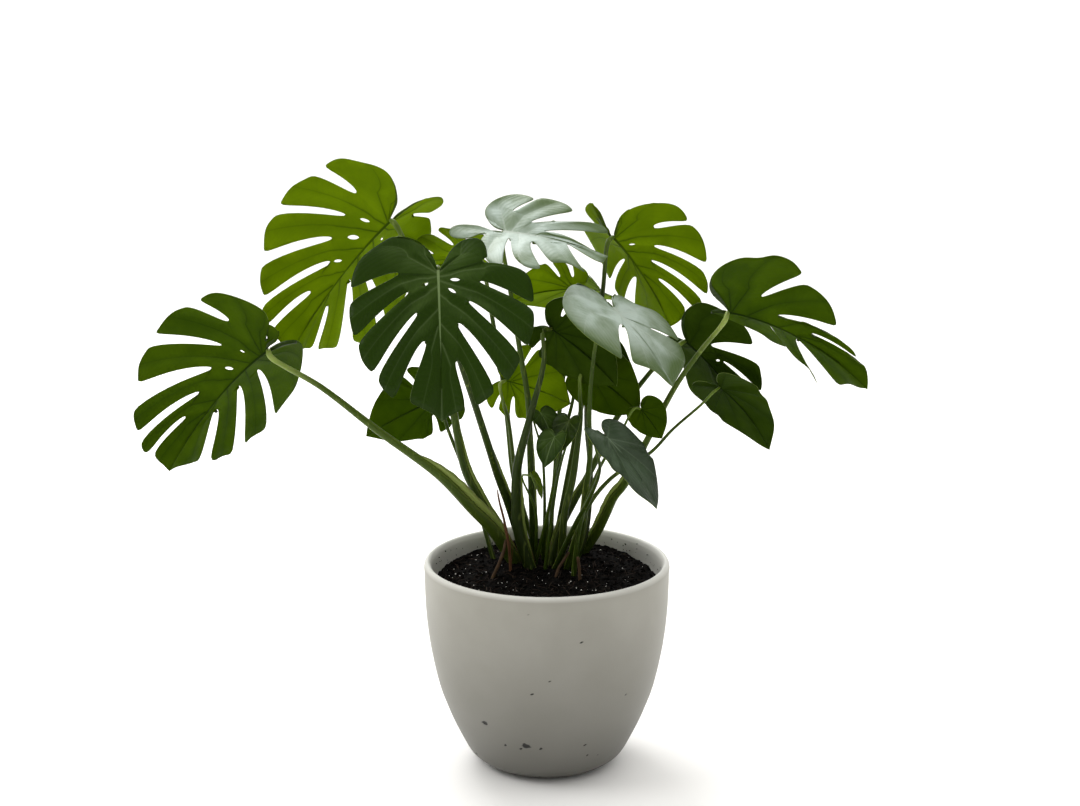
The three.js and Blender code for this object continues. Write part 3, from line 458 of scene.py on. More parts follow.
def on_blade(leaf, x, y):
    """Where points of the flat blade lie in space: arched, folded up and curled at the sides."""
    along, left, normal = leaf_frame(leaf)
    bend = np.where(x < 0, leaf.get("base_bend", leaf["bend"]), leaf["bend"])
    rate = np.radians(bend)[:, None] / leaf["length"]
    turn = rate * x[:, None]
    place = np.array(leaf["joint"]) + along * np.sin(turn) / rate - normal * (1 - np.cos(turn)) / rate
    outward = normal * np.cos(turn) + along * np.sin(turn)
    fold = np.radians(np.where(y > 0, leaf["fold_left"], leaf["fold_right"]))
    tilt = (fold - SIDE_CURL * np.abs(y) / 2)[:, None]
    return place + left * (y[:, None] * np.cos(tilt)) + outward * (np.abs(y)[:, None] * np.sin(tilt))


def smooth_way(points):
    """A centripetal spline through points, as 60 points to each stretch."""
    points = np.array(points, float)
    points = np.vstack([2 * points[0] - points[1], points, 2 * points[-1] - points[-2]])
    made = []
    for k in range(1, len(points) - 2):
        a, b, c, d = points[k - 1:k + 3]
        ab, bc, cd = (math.sqrt(np.linalg.norm(q - p)) for p, q in ((a, b), (b, c), (c, d)))
        start = ((b - a) / ab - (c - a) / (ab + bc) + (c - b) / bc) * bc
        end = ((c - b) / bc - (d - b) / (bc + cd) + (d - c) / cd) * bc
        t = np.linspace(0, 1, 60, endpoint=False)[:, None]
        square = 3 * (c - b) - 2 * start - end
        cube = 2 * (b - c) + start + end
        made.append(b + start * t + square * t ** 2 + cube * t ** 3)
    return np.vstack(made + [points[-2:-1]])


def tube(line, radii, sides, outline=None, toward=None):
    """Points and faces of a closed tube. outline(share, angle) gives its form, as a share of the
    radius, and toward the side that the angles are counted from."""
    step = np.gradient(line, axis=0)
    step /= np.linalg.norm(step, axis=1)[:, None]
    angles = np.linspace(0, 2 * math.pi, sides, endpoint=False)
    points, last = [], np.array(toward if toward is not None else (0.3, 0.9, 0.2), float)
    for k, (core, way) in enumerate(zip(line, step)):
        ref = toward if toward is not None else last
        up = ref - way * np.dot(ref, way)
        up /= np.linalg.norm(up)
        last, side = up, np.cross(way, up)
        share = k / (len(line) - 1)
        for a in angles:
            r = radii[k] * (outline(share, a) if outline else 1)
            points.append(core + up * r * math.cos(a) + side * r * math.sin(a))
    faces = []
    for k in range(len(line) - 1):
        for s in range(sides):
            here, there = k * sides + s, k * sides + (s + 1) % sides
            faces.append([here, there, there + sides, here + sides])
    tail = (len(line) - 1) * sides
    faces.append(list(range(sides))[::-1])
    faces.append(list(range(tail, tail + sides)))
    return points, faces


# Living stalk skin: a thin wax over juicy green flesh, so it is satin and light creeps in at its
# edges. It is paler at its neck. The edges of its channel are painted pale, a painted highlight, and
# its foot is painted darker, as painted shade where the stalks crowd at the crown. Its fine streaks
# are drawn 3.8 mm apart, wider than they are, so that they show.
def stalk_skin(name, foot_colour_and_shade, middle_colour, neck_colour):
    """The skin of a stalk, from the colours at its foot, darkened there as painted shade, its middle
    and its neck.
    """
    skin, tree = new_material(name)
    place = add(tree, "ShaderNodeTexCoord")
    share = add(tree, "ShaderNodeAttribute", attribute_name="share")
    ridge_highlight = add(tree, "ShaderNodeAttribute", attribute_name="ridge_highlight")
    streak = add(tree, "ShaderNodeMapping", {
        "Vector": place.outputs["Object"], "Scale": (1.0, 1.0, 0.12),
    })
    marks = add(tree, "ShaderNodeTexNoise", {
        "Vector": streak.outputs[0], "Scale": cells(3.8), "Detail": 3.0,
    })
    cloud = add(tree, "ShaderNodeTexNoise", {
        "Vector": place.outputs["Object"], "Scale": cells(45), "Detail": 2.0,
    })
    rise = add(tree, "ShaderNodeMapRange", {
        "Value": share.outputs["Fac"], "From Min": 0.04, "From Max": 0.4,
    })
    end = add(tree, "ShaderNodeMapRange", {
        "Value": share.outputs["Fac"], "From Min": 0.8, "From Max": 0.97,
    })
    # Painted shade: the colour is darker at the foot, where the stalks crowd at the crown.
    lower = add(tree, "ShaderNodeMix", {
        0: rise.outputs[0], 6: linear(foot_colour_and_shade), 7: linear(middle_colour),
    }, data_type="RGBA")
    whole = add(tree, "ShaderNodeMix", {
        0: end.outputs[0], 6: lower.outputs[2], 7: linear(neck_colour),
    }, data_type="RGBA")
    worn = add(tree, "ShaderNodeMapRange", {
        "Value": cloud.outputs["Fac"], "From Min": 0.4, "From Max": 0.75, "To Max": 0.45,
    })
    shaded = add(tree, "ShaderNodeMix", {
        0: worn.outputs[0], 6: whole.outputs[2], 7: linear(foot_colour_and_shade),
    }, data_type="RGBA")
    pale = add(tree, "ShaderNodeMapRange", {
        "Value": marks.outputs["Fac"], "From Min": 0.6, "From Max": 0.72, "To Max": 0.35,
    })
    streaked = add(tree, "ShaderNodeMix", {
        0: pale.outputs[0], 6: shaded.outputs[2], 7: linear("#909f4a"),
    }, data_type="RGBA")
    # Painted highlight: the raised edges of the channel are mixed towards a pale green.
    edged = add(tree, "ShaderNodeMix", {
        0: ridge_highlight.outputs["Fac"], 6: streaked.outputs[2], 7: linear("#8b9a48"),
    }, data_type="RGBA")
    rough = add(tree, "ShaderNodeBump", {
        "Height": marks.outputs["Fac"], "Strength": 0.25, "Distance": 0.0006,
    })
    surface = add(tree, "ShaderNodeBsdfPrincipled", {
        "Base Color": edged.outputs[2], "Roughness": 0.4, "Normal": rough.outputs[0],
        "IOR": 1.42, "Specular IOR Level": 0.2, "Subsurface Weight": 0.3,
        "Subsurface Radius": (0.003, 0.005, 0.0008), "Subsurface Scale": 1.0,
    })
    add(tree, "ShaderNodeOutputMaterial", {"Surface": surface.outputs[0]})
    return skin


stalk_green = stalk_skin("stalk_skin_green", "#29380a", "#3a4e0c", "#64782c")
stalk_light = stalk_skin("stalk_skin_pale_green", "#3a4b10", "#445714", "#94a456")
stalk_dark = stalk_skin("stalk_skin_shaded_green", "#1f2b08", "#2a3b08", "#4c5f1c")

# The thin wings along the channel of a stalk: pale green skin, dried to brown paper at the foot and
# along the torn edge.
papery, tree = new_material("stalk_wing_drying_skin")
place = add(tree, "ShaderNodeTexCoord")
dried = add(tree, "ShaderNodeAttribute", attribute_name="dried")
cloud = add(tree, "ShaderNodeTexNoise", {
    "Vector": place.outputs["Object"], "Scale": cells(11), "Detail": 4.0,
})
patchy = add(tree, "ShaderNodeMath", {
    0: cloud.outputs["Fac"], 1: dried.outputs["Fac"],
}, operation="ADD")
brown = add(tree, "ShaderNodeMapRange", {
    "Value": patchy.outputs[0], "From Min": 0.75, "From Max": 1.1,
})
paper = add(tree, "ShaderNodeMix", {
    0: cloud.outputs["Fac"], 6: linear("#4a3420"), 7: linear("#a58b62"),
}, data_type="RGBA")
tone = add(tree, "ShaderNodeMix", {
    0: brown.outputs[0], 6: linear("#95a650"), 7: paper.outputs[2],
}, data_type="RGBA")
surface = add(tree, "ShaderNodeBsdfPrincipled", {"Base Color": tone.outputs[2], "Roughness": 0.55})
behind = add(tree, "ShaderNodeBsdfTranslucent", {"Color": tone.outputs[2]})
both = add(tree, "ShaderNodeMixShader", {0: 0.3, 1: surface.outputs[0], 2: behind.outputs[0]})
add(tree, "ShaderNodeOutputMaterial", {"Surface": both.outputs[0]})


def stalk_foot(leaf):
    """Where a stalk comes out of the soil."""
    return np.array([*leaf["foot"], float(soil_height(*leaf["foot"]))])


def stalk_radius(leaf, share):
    """How thick a stalk is, at a share of its length."""
    base, middle, top = leaf["radii"]
    radii = [base, base * 0.42 + middle * 0.58, middle, middle * 0.4 + top * 0.6, top]
    return np.interp(share, [0, 0.25, 0.5, 0.75, 1], radii)


def channel_side(middle):
    """The way that a stalk's channel faces: up, and in towards the crown."""
    inward = np.array([CROWN[0] - middle[0], CROWN[1] - middle[1], 0])
    return inward / max(60, np.linalg.norm(inward)) + (0, 0, 0.75)


def stalk(name, leaf, skin):
    """The stalk of a leaf, from below the soil to just under its blade."""
    along, _, normal = leaf_frame(leaf)
    foot = stalk_foot(leaf)
    rise = leaf["via"][0] - foot
    joint = np.array(leaf["joint"], float)
    fold = math.radians(min(leaf["fold_left"], leaf["fold_right"]))
    below = 0.85 - 0.8 * rib_half_width(leaf, 0) * math.sin(fold)
    way = smooth_way([
        foot - rise / np.linalg.norm(rise) * STALK_DEPTH, *leaf["via"],
        joint - normal * NECK_DROP - along * NECK_DROP / 2, joint - normal * below,
    ])
    length = np.linalg.norm(np.diff(way, axis=0), axis=1).sum()
    line = spaced(way, np.linspace(0, 1, max(40, int(length / 5))))
    share = np.linspace(0, 1, len(line))
    from_end = (1 - share) * length
    swollen = 0.16 * np.exp(-((from_end - 14) / 11) ** 2)
    waist = 0.05 * np.exp(-((from_end - 34) / 6) ** 2)
    radii = stalk_radius(leaf, share) * (0.97 + swollen - waist)
    radii[-1] *= 0.9
    toward = channel_side(line[len(line) // 2])

    def outline(at, angle):
        """The channel: a hollow with a raised edge on each side, shallower towards the neck."""
        angle = min(angle, 2 * math.pi - angle)
        deep = 0.2 * (1 - at) ** 0.6 * min(1, at * 9) * (1 if at < 0.93 else 0)
        edge = 0.5 * math.exp(-((angle - CHANNEL_EDGE) / 0.28) ** 2)
        return 1 - deep * math.exp(-(angle / 0.42) ** 2) + deep * edge

    sides = 20 if leaf["radii"][0] > 4.5 else 14
    points, faces = tube(line, radii, sides, outline, toward)
    angles = np.tile(np.linspace(0, 2 * math.pi, sides, endpoint=False), len(line))
    angles = np.minimum(angles, 2 * math.pi - angles)
    all_share = np.repeat(share, sides)
    # A painted highlight along the raised edges of the channel, fading out up the stalk.
    ridge_highlight = 0.6 * np.exp(-((angles - CHANNEL_EDGE) / 0.22) ** 2)
    ridge_highlight *= np.clip(1.1 - all_share * 1.4, 0, 1)
    piece(
        "stem_" + name, points, faces, [skin], ["stalk_" + name],
        values={"share": all_share, "ridge_highlight": ridge_highlight},
    )


def wings(name, leaf, reach, tall):
    """Two thin papery wings along a large stalk's channel, from the soil to a share of its length."""
    _, _, normal = leaf_frame(leaf)
    way = smooth_way([stalk_foot(leaf), *leaf["via"], np.array(leaf["joint"]) - normal * NECK_DROP])
    line = spaced(way, np.linspace(0.01, reach, WING_STEPS + 1))
    step = np.gradient(line, axis=0)
    step /= np.linalg.norm(step, axis=1)[:, None]
    toward = channel_side(spaced(way, [0.5])[0])
    points, faces, dried = [], [], []
    for sign in (1, -1):
        first = len(points)
        for k, (core, way_on) in enumerate(zip(line, step)):
            at = k / WING_STEPS
            up = toward - way_on * np.dot(toward, way_on)
            up /= np.linalg.norm(up)
            side = np.cross(way_on, up) * sign
            radius = stalk_radius(leaf, at * reach)
            rise = max(0.15, tall * math.sin(math.pi * at ** 1.2) ** 0.8)
            rise *= 1 + 0.18 * noise.noise(Vector((k / 5, sign * 3, leaf["radii"][0])))
            low = core + up * radius * 0.78 + side * radius * 0.6
            lean = side * (0.55 + 0.3 * noise.noise(Vector((k / 7, sign, 4))))
            high = low + (up + lean) * rise
            belly = low * 0.4 + high * 0.6 + side * 0.25
            brown_foot = 0.75 * max(0, 1 - at * 4)
            for spot, thick, brown in ((low, 0.35, 0), (belly, 0.25, 0), (high, 0.12, 0.34)):
                points += [spot + side * thick, spot - side * thick]
                dried += [brown_foot + brown] * 2
        ring = [first + k for k in (0, 2, 4, 5, 3, 1)]
        for k in range(WING_STEPS):
            for p, q in zip(ring, ring[1:] + ring[:1]):
                face = [n + 6 * k for n in (p, q, q + 6, p + 6)]
                faces.append(face if sign < 0 else face[::-1])
        faces.append(ring[::sign])
        faces.append([n + 6 * WING_STEPS for n in ring[::-sign]])
    piece("wing_" + name, points, faces, [papery], values={"dried": dried})


# Leaf skin. The upper face is waxed over dark green; where it faces up it is painted paler and
# greyer, a painted reflection of the sky. The lower one is paler and satin, and is painted lighter
# between its veins and darker along them, as painted shade. Light from behind shines through both in
# yellow green, painted dimmer where the painted shade is. Side veins leave the main vein of a lobe at
# a slant, every 7 mm, and are drawn faintly. Pores are too fine to show, and are drawn 1.4 mm wide.
SIDE_VEIN_GAP = 7.2


def leaf_skin(name, low, high, vein, glow, through, roughness, sheen, side_veins):
    """One face of a leaf: low and high are its colours in painted shade and painted light, turned away
    from the sky and up to it, vein that of its veins and glow that of light behind it. through is the
    share of light let through."""
    skin, tree = new_material(name)
    place = add(tree, "ShaderNodeTexCoord")
    # The tone attribute is painted light and shade: a painted reflection of the sky where the upper
    # face faces up, and painted shade along the veins of the lower face.
    rib, veins, along, aside, tone = (
        add(tree, "ShaderNodeAttribute", attribute_name=key).outputs["Fac"]
        for key in ("rib", "vein", "along", "aside", "tone")
    )
    cloud = add(tree, "ShaderNodeTexNoise", {
        "Vector": place.outputs["Object"], "Scale": cells(42), "Detail": 5.0,
    })
    pores = add(tree, "ShaderNodeTexNoise", {
        "Vector": place.outputs["Object"], "Scale": cells(1.4), "Detail": 3.0,
    })
    patches = add(tree, "ShaderNodeMapRange", {
        "Value": cloud.outputs["Fac"], "From Min": 0.35, "From Max": 0.68,
        "To Min": 0.4, "To Max": 1.6,
    })
    shade = add(tree, "ShaderNodeMath", {
        0: patches.outputs[0], 1: tone,
    }, operation="MULTIPLY", use_clamp=True)
    flesh = add(tree, "ShaderNodeMix", {
        0: shade.outputs[0], 6: linear(low), 7: linear(high),
    }, data_type="RGBA")
    slant = add(tree, "ShaderNodeMath", {0: aside, 1: -0.85, 2: along}, operation="MULTIPLY_ADD")
    bent = add(tree, "ShaderNodeMath", {
        0: cloud.outputs["Fac"], 1: 14.0, 2: slant.outputs[0],
    }, operation="MULTIPLY_ADD")
    wave = add(tree, "ShaderNodeMath", {
        0: bent.outputs[0], 1: SIDE_VEIN_GAP / 2,
    }, operation="PINGPONG")
    fine = add(tree, "ShaderNodeMapRange", {
        "Value": wave.outputs[0], "From Min": 0.0, "From Max": 0.9,
        "To Min": 0.14 * side_veins, "To Max": 0.0,
    })
    broken = add(tree, "ShaderNodeMath", {
        0: fine.outputs[0], 1: cloud.outputs["Fac"],
    }, operation="MULTIPLY")
    main = add(tree, "ShaderNodeMath", {0: veins, 1: side_veins}, operation="MULTIPLY")
    both_veins = add(tree, "ShaderNodeMath", {
        0: broken.outputs[0], 1: main.outputs[0],
    }, operation="MAXIMUM")
    lines = add(tree, "ShaderNodeMath", {0: both_veins.outputs[0], 1: rib}, operation="MAXIMUM")
    netted = add(tree, "ShaderNodeMix", {
        0: lines.outputs[0], 6: flesh.outputs[2], 7: linear(vein),
    }, data_type="RGBA")
    swell = add(tree, "ShaderNodeMath", {
        0: wave.outputs[0], 1: 0.3, 2: pores.outputs["Fac"],
    }, operation="MULTIPLY_ADD")
    relief = add(tree, "ShaderNodeBump", {
        "Height": swell.outputs[0], "Strength": 0.25, "Distance": 0.001,
    })
    surface = add(tree, "ShaderNodeBsdfPrincipled", {
        "Base Color": netted.outputs[2], "Roughness": roughness, "Normal": relief.outputs[0],
        "IOR": 1.45, "Specular IOR Level": sheen,
    })
    # The light let through is painted dimmer where the painted shade is.
    thin = add(tree, "ShaderNodeMapRange", {
        "Value": shade.outputs[0], "To Min": 0.3, "To Max": 0.0,
    })
    dim = add(tree, "ShaderNodeMix", {
        0: thin.outputs[0], 6: linear(glow), 7: linear(low),
    }, data_type="RGBA")
    lit = add(tree, "ShaderNodeMix", {
        0: lines.outputs[0], 6: dim.outputs[2], 7: linear(vein),
    }, data_type="RGBA")
    behind = add(tree, "ShaderNodeBsdfTranslucent", {"Color": lit.outputs[2]})
    both = add(tree, "ShaderNodeMixShader", {
        0: through, 1: surface.outputs[0], 2: behind.outputs[0],
    })
    add(tree, "ShaderNodeOutputMaterial", {"Surface": both.outputs[0]})
    return skin


# For each finish, its upper and lower face: name, colours away from and up to the sky, of the veins
# and of light behind, and then the share let through, roughness, sheen and strength of the veins.
# The finishes are partly lit and shaded copies of one leaf: bright has the light from behind painted
# in, dark the shade, and the upper faces of pale and slate a painted reflection of the sky.
LEAF_FINISHES = {
    "bright": [
        ("upper_bright_green", "#465c06", "#5c7408", "#8fa23a", "#93a60c", 0.42, 0.4, 0.2, 1),
        ("lower_bright_green", "#526a04", "#70880a", "#42580a", "#c2d614", 0.56, 0.5, 0.04, 1),
    ],
    "mid": [
        ("upper_mid_green", "#2c4004", "#3f5608", "#7c8e4a", "#5f7806", 0.36, 0.34, 0.25, 0.5),
        ("lower_mid_green", "#314804", "#486006", "#22340a", "#6c8808", 0.42, 0.5, 0.02, 0.8),
    ],
    "dark": [
        ("upper_dark_green", "#263c06", "#4c6428", "#869c66", "#4a6606", 0.24, 0.34, 0.12, 0.3),
        ("lower_dark_green", "#263a05", "#384e0b", "#1b2a08", "#526a06", 0.34, 0.5, 0.02, 0.6),
    ],
    "pale": [
        ("upper_silver_green_painted_reflection", "#566b3e", "#b2c1b6", "#adb8aa", "#6c7c2c", 0.1, 0.44, 0.35, 0.6),
        ("lower_silver_green", "#3a5010", "#4c6018", "#6f8040", "#66801a", 0.3, 0.5, 0.12, 1),
    ],
    "slate": [
        ("upper_slate_green_painted_reflection", "#24351a", "#4a5c44", "#7c8c72", "#3a5a08", 0.12, 0.34, 0.3, 0.5),
        ("lower_slate_green", "#22340a", "#30440c", "#4c5f1e", "#485c06", 0.3, 0.5, 0.12, 1),
    ],
}
leaf_tones = {
    finish: [leaf_skin("leaf_" + face, *looks) for face, *looks in faces]
    for finish, faces in LEAF_FINISHES.items()
}

# The cut edge of every blade is a thin, pale and slightly see-through margin.
leaf_margin, tree = new_material("leaf_margin_pale_green")
surface = add(tree, "ShaderNodeBsdfPrincipled", {"Base Color": linear("#6f8434"), "Roughness": 0.5})
behind = add(tree, "ShaderNodeBsdfTranslucent", {"Color": linear("#a3b648")})
both = add(tree, "ShaderNodeMixShader", {0: 0.4, 1: surface.outputs[0], 2: behind.outputs[0]})
add(tree, "ShaderNodeOutputMaterial", {"Surface": both.outputs[0]})

CLOSED_ROWS = 12  # rows from the midrib to the inner end of a slit
OPEN_ROWS = 14  # rows along the slit
POINT_GAP = 3.4  # between the points across a lobe, away from its veins


def slit_edges(leaf, side, number):
    """The two edges between neighbouring lobes, from the midrib out: apart in a slit or a hole."""
    length = leaf["length"]
    before, after = side["lobes"][number], side["lobes"][number + 1]
    root_x, root_y, half_width = side["slits"][number]
    least = 0.03 * length
    for earlier in side["slits"][:number + 1]:
        foot_x = max(least, earlier[0] - (0.5 + 1.2 * earlier[0] / length) * earlier[1])
        least = foot_x + 0.03 * length
    foot = np.array([foot_x, rib_half_width(leaf, foot_x)])
    root = np.array([root_x, root_y], float)
    if half_width == 0:
        way = foot + (root - foot) * np.linspace(0, 1, CLOSED_ROWS + OPEN_ROWS + 1)[:, None]
        return foot, way, way
    hole = [h for h in side["holes"] if h[0] == number]
    shares = np.linspace(0, 1, CLOSED_ROWS + 1)
    lens = np.zeros(CLOSED_ROWS + 1)
    if hole:
        _, start, end, wide = hole[0]
        beyond = np.linspace(start, end, 7)[1:], np.linspace(end, 1, 4)[1:]
        shares = np.concatenate([np.linspace(0, start, 4), *beyond])
        lens[3:10] = wide * np.sin(np.linspace(0, math.pi, 7)) ** 0.6
    corners = np.array(before[-1], float), np.array(after[0], float)
    mouth = (corners[0] + corners[1]) / 2
    depth = np.linalg.norm(mouth - root)
    out = (mouth - root) / depth
    across = np.array([out[1], -out[0]])
    way_in = (root - foot) / np.linalg.norm(root - foot)
    tipward = np.array([way_in[1], -way_in[0]])
    edges = []
    for corner, sign in zip(corners, (-1, 1)):
        inner = foot + (root - foot) * shares[:, None] + tipward * (sign * lens)[:, None]
        first = root + across * sign * half_width * 1.5
        second = (root + corner) / 2 + across * (sign * half_width * 0.6 - 0.06 * depth)
        t = (np.linspace(0, 1, OPEN_ROWS + 1)[1:, None]) ** 1.5
        curve = root * (1 - t) ** 3 + corner * t ** 3
        curve += 3 * first * t * (1 - t) ** 2 + 3 * second * t ** 2 * (1 - t)
        edges.append(np.vstack([inner, curve]))
    return foot, edges[0], edges[1]


def half_blade(leaf, side, sign, flat):
    """Adds one half of a flat blade to flat, lobe by lobe, and returns its row along the midrib.
    Each point holds its place, how far it is from the nearest vein and along that vein, its shares
    from the midrib out and across its lobe, and the lobe's number and tint."""
    length = leaf["length"]
    joint, tip = np.array([0, rib_half_width(leaf, 0)]), np.array([length, 0.0])
    rows = CLOSED_ROWS + OPEN_ROWS + 1
    shares = np.linspace(0, 1, rows)[:, None]
    edges = [slit_edges(leaf, side, n) for n in range(len(side["slits"]))]
    row = {}
    for number, lobe in enumerate(side["lobes"]):
        first, last = number == 0, number == len(side["lobes"]) - 1
        start = joint if first else edges[number - 1][0]
        low = np.repeat(joint[None], rows, 0) if first else edges[number - 1][2]
        high = start + (tip - start) * shares if last else edges[number][1]
        outer = rounded(([joint] if first else []) + list(lobe) + ([tip] if last else []))
        width = np.linalg.norm(np.diff(outer, axis=0), axis=1).sum()
        veins = [0.5] if width < 120 else [0.3, 0.62] if width < 190 else [0.24, 0.5, 0.76]
        if last and width > 30:
            veins = [0.38]
        spots = [v + o / width for v in veins for o in (-2.6, -1.1, 0, 1.1, 2.6)]
        for u in np.linspace(0, 1, max(5, int(width / POINT_GAP)) + 1):
            if min(abs(u - v) * width for v in veins) > 4 or u in (0, 1):
                spots.append(u)
        across = np.array(sorted({round(float(u), 5) for u in spots if 0 <= u <= 1}))
        margin = spaced(outer, across)
        pull = shares[:, 0] if first or last else shares[:, 0] ** 1.5
        u = across[:, None, None]
        grid = low[None] * (1 - u) + high[None] * u
        chord = low[-1] * (1 - across[:, None]) + high[-1] * across[:, None]
        grid = grid + (margin - chord)[:, None] * pull[None, :, None]
        nearest = np.full(grid.shape[:2], 99.0)
        reach = np.zeros(grid.shape[:2])
        for v in veins:
            line = grid[np.argmin(np.abs(across - v))]
            gone = np.concatenate([[0], np.cumsum(np.linalg.norm(np.diff(line, axis=0), axis=1))])
            far = np.linalg.norm(grid - line[None], axis=2)
            closer = far < nearest
            nearest = np.where(closer, far, nearest)
            reach = np.where(closer, gone[None], reach)
        numbers = np.empty(grid.shape[:2], int)
        tint = (math.sin(number * 12.9 + sign * 4.1 + length) * 43.7) % 1
        for i in range(len(across)):
            for j in range(rows):
                x, y = grid[i, j]
                key = (round(x, 2), round(y * sign, 2))
                if key not in flat["numbers"]:
                    flat["numbers"][key] = len(flat["points"])
                    flat["points"].append((
                        x, y * sign, nearest[i, j], reach[i, j],
                        j / (rows - 1), across[i], number, tint,
                    ))
                numbers[i, j] = flat["numbers"][key]
        row.update(zip(grid[:, 0, 0], numbers[:, 0]))
        if last:
            row.update(zip(grid[-1, :, 0], numbers[-1]))
        for i in range(len(across) - 1):
            for j in range(rows - 1):
                face = [numbers[i, j], numbers[i + 1, j], numbers[i + 1, j + 1], numbers[i, j + 1]]
                face = [n for k, n in enumerate(face) if n not in face[:k]]
                if len(face) > 2:
                    flat["faces"].append(face if sign > 0 else face[::-1])
    return [row[x] for x in sorted(row)]


def midrib(flat, left, right):
    """Joins the two halves by a strip that is raised later."""
    points = flat["points"]
    lanes = [left]
    for share in (0.6, 0.001, -0.6):
        first = len(points)
        points += [(points[n][0], points[n][1] * share, 0, 0, 0, 0.5, 0, 0.5) for n in left[:-1]]
        lanes.append([*range(first, len(points)), left[-1]])
    for near, far in zip(lanes, lanes[1:]):
        for k in range(len(left) - 1):
            face = [near[k], far[k], far[k + 1], near[k + 1]]
            face = [n for i, n in enumerate(face) if n not in face[:i]]
            if len(face) > 2:
                flat["faces"].append(face)
    near, i, j = lanes[-1], 0, 0
    while i < len(near) - 1 or j < len(right) - 1:
        right_is_next = j < len(right) - 1 and (
            i == len(near) - 1 or points[right[j + 1]][0] < points[near[i + 1]][0]
        )
        if right_is_next:
            face = [right[j], right[j + 1], near[i]]
            j += 1
        else:
            face = [near[i], right[j], near[i + 1]]
            i += 1
        if len(set(face)) == 3:
            flat["faces"].append(face)


def outward(points, faces):
    """The direction out of a surface at each of its points."""
    normals = np.zeros_like(points)
    corners = np.array([[f[0], f[1], f[2], f[-1]] for f in faces])
    a, b, c, d = (points[corners[:, k]] for k in range(4))
    triangle = (corners[:, 2] == corners[:, 3])[:, None]
    way = np.where(triangle, np.cross(b - a, c - a), np.cross(c - a, d - b))
    for k in range(4):
        np.add.at(normals, corners[:, k], way)
    return normals / np.maximum(np.linalg.norm(normals, axis=1), 1e-9)[:, None]


BULGE = 1.9  # how high the skin rises between two veins


def blade(name, leaf, tone, wave=1.6, finish=None):
    """The blade of a leaf, with rounded lobe ends, veins that stand out below, and slight waves."""
    flat = {"points": [], "numbers": {}, "faces": []}
    left = half_blade(leaf, leaf["left"], 1, flat)
    right = half_blade(leaf, leaf["right"], -1, flat)
    midrib(flat, left, right)
    data = np.array(flat["points"])
    xy = data[:, :2].copy()
    edges = {}  # in the end, only those of the rim are left
    for face in flat["faces"]:
        for a, b in zip(face, face[1:] + face[:1]):
            if (b, a) in edges:
                del edges[b, a]
            else:
                edges[a, b] = True
    follows = {a: b for a, b in edges}
    leads = {b: a for a, b in edges}
    rim = np.array([a for a in follows if a in leads and data[a, 4] > 0.62 and abs(data[a, 1]) > 1])
    after, before = np.array([follows[a] for a in rim]), np.array([leads[a] for a in rim])
    for _ in range(2):
        xy[rim] += 0.5 * ((xy[after] + xy[before]) / 2 - xy[rim])
    x, y = xy.T
    near, reach, share, across, lobe, tint = data[:, 2:].T
    length = leaf["length"]
    rib_width = rib_half_width(leaf, x)
    on_rib = (np.abs(y) < rib_width * 0.98 + 0.01) & (x > -0.01)
    base = on_blade(leaf, x, y)
    out = outward(base, flat["faces"])
    phase = lobe * 2.4 + length
    bulge = BULGE * (1 - np.exp(-(near / 9) ** 2)) * np.sin(math.pi * np.clip(share, 0, 1))
    ripple = wave * share ** 1.6 * np.sin(2 * math.pi * across * 1.2 + phase)
    twist = wave * 1.3 * share ** 2 * (across - 0.5) * np.sin(phase * 1.7)
    height = np.where(on_rib, 0, bulge + ripple + twist) * min(1, length / 150)
    middle = base + out * height[:, None]
    out = outward(middle, flat["faces"])
    wide = (0.55 + 0.8 * (1 - share)) * min(1, 0.45 + length / 300)
    line = np.where(on_rib, 0, np.exp(-(near / wide) ** 2) * (1 - 0.75 * share))
    hill = np.clip(1 - (np.abs(y) / np.maximum(rib_width, 0.05)) ** 2, 0, 1) * on_rib
    half = BLADE_THICKNESS / 2
    upper = middle + out * (half - 0.3 * line + 0.25 * hill)[:, None]
    lower = middle - out * (half + 0.5 * line + (0.3 + 0.55 * rib_width) * hill)[:, None]
    count = len(middle)
    faces = list(flat["faces"]) + [[n + count for n in f[::-1]] for f in flat["faces"]]
    which = [0] * len(flat["faces"]) + [1] * len(flat["faces"])
    for a, b in edges:
        faces.append([b, a, a + count, b + count])
        which.append(2)
    soft = np.exp(-(near / (wide * 1.15)) ** 2) * (1 - 0.65 * share)
    vein = np.where(on_rib, 0, soft * 0.8)
    rib = np.where(on_rib, 0.95 - 0.7 * np.clip(x / length, 0, 1), 0)
    # Painted light and shade: the upper face is painted paler where it faces up, a painted reflection
    # of the sky, less so towards the lobe ends; the lower face is painted darker along its veins.
    faces_up = np.clip((out[:, 2] - 0.3) / 0.6, 0, 1) + 0.1 * (tint - 0.5) - 0.8 * share ** 5
    between = 0.35 + 0.4 * (1 - np.exp(-(near / 8) ** 2)) + 0.25 * (tint - 0.5)
    values = {key: np.tile(numbers, 2) for key, numbers in (
        ("rib", rib), ("vein", vein), ("along", reach), ("aside", near),
    )}
    values["tone"] = np.concatenate([faces_up, between])
    piece(
        "leaf_" + name, np.vstack([upper, lower]), faces, [*leaf_tones[finish or tone], leaf_margin],
        ["blade_" + name], which=which, values=values,
    )


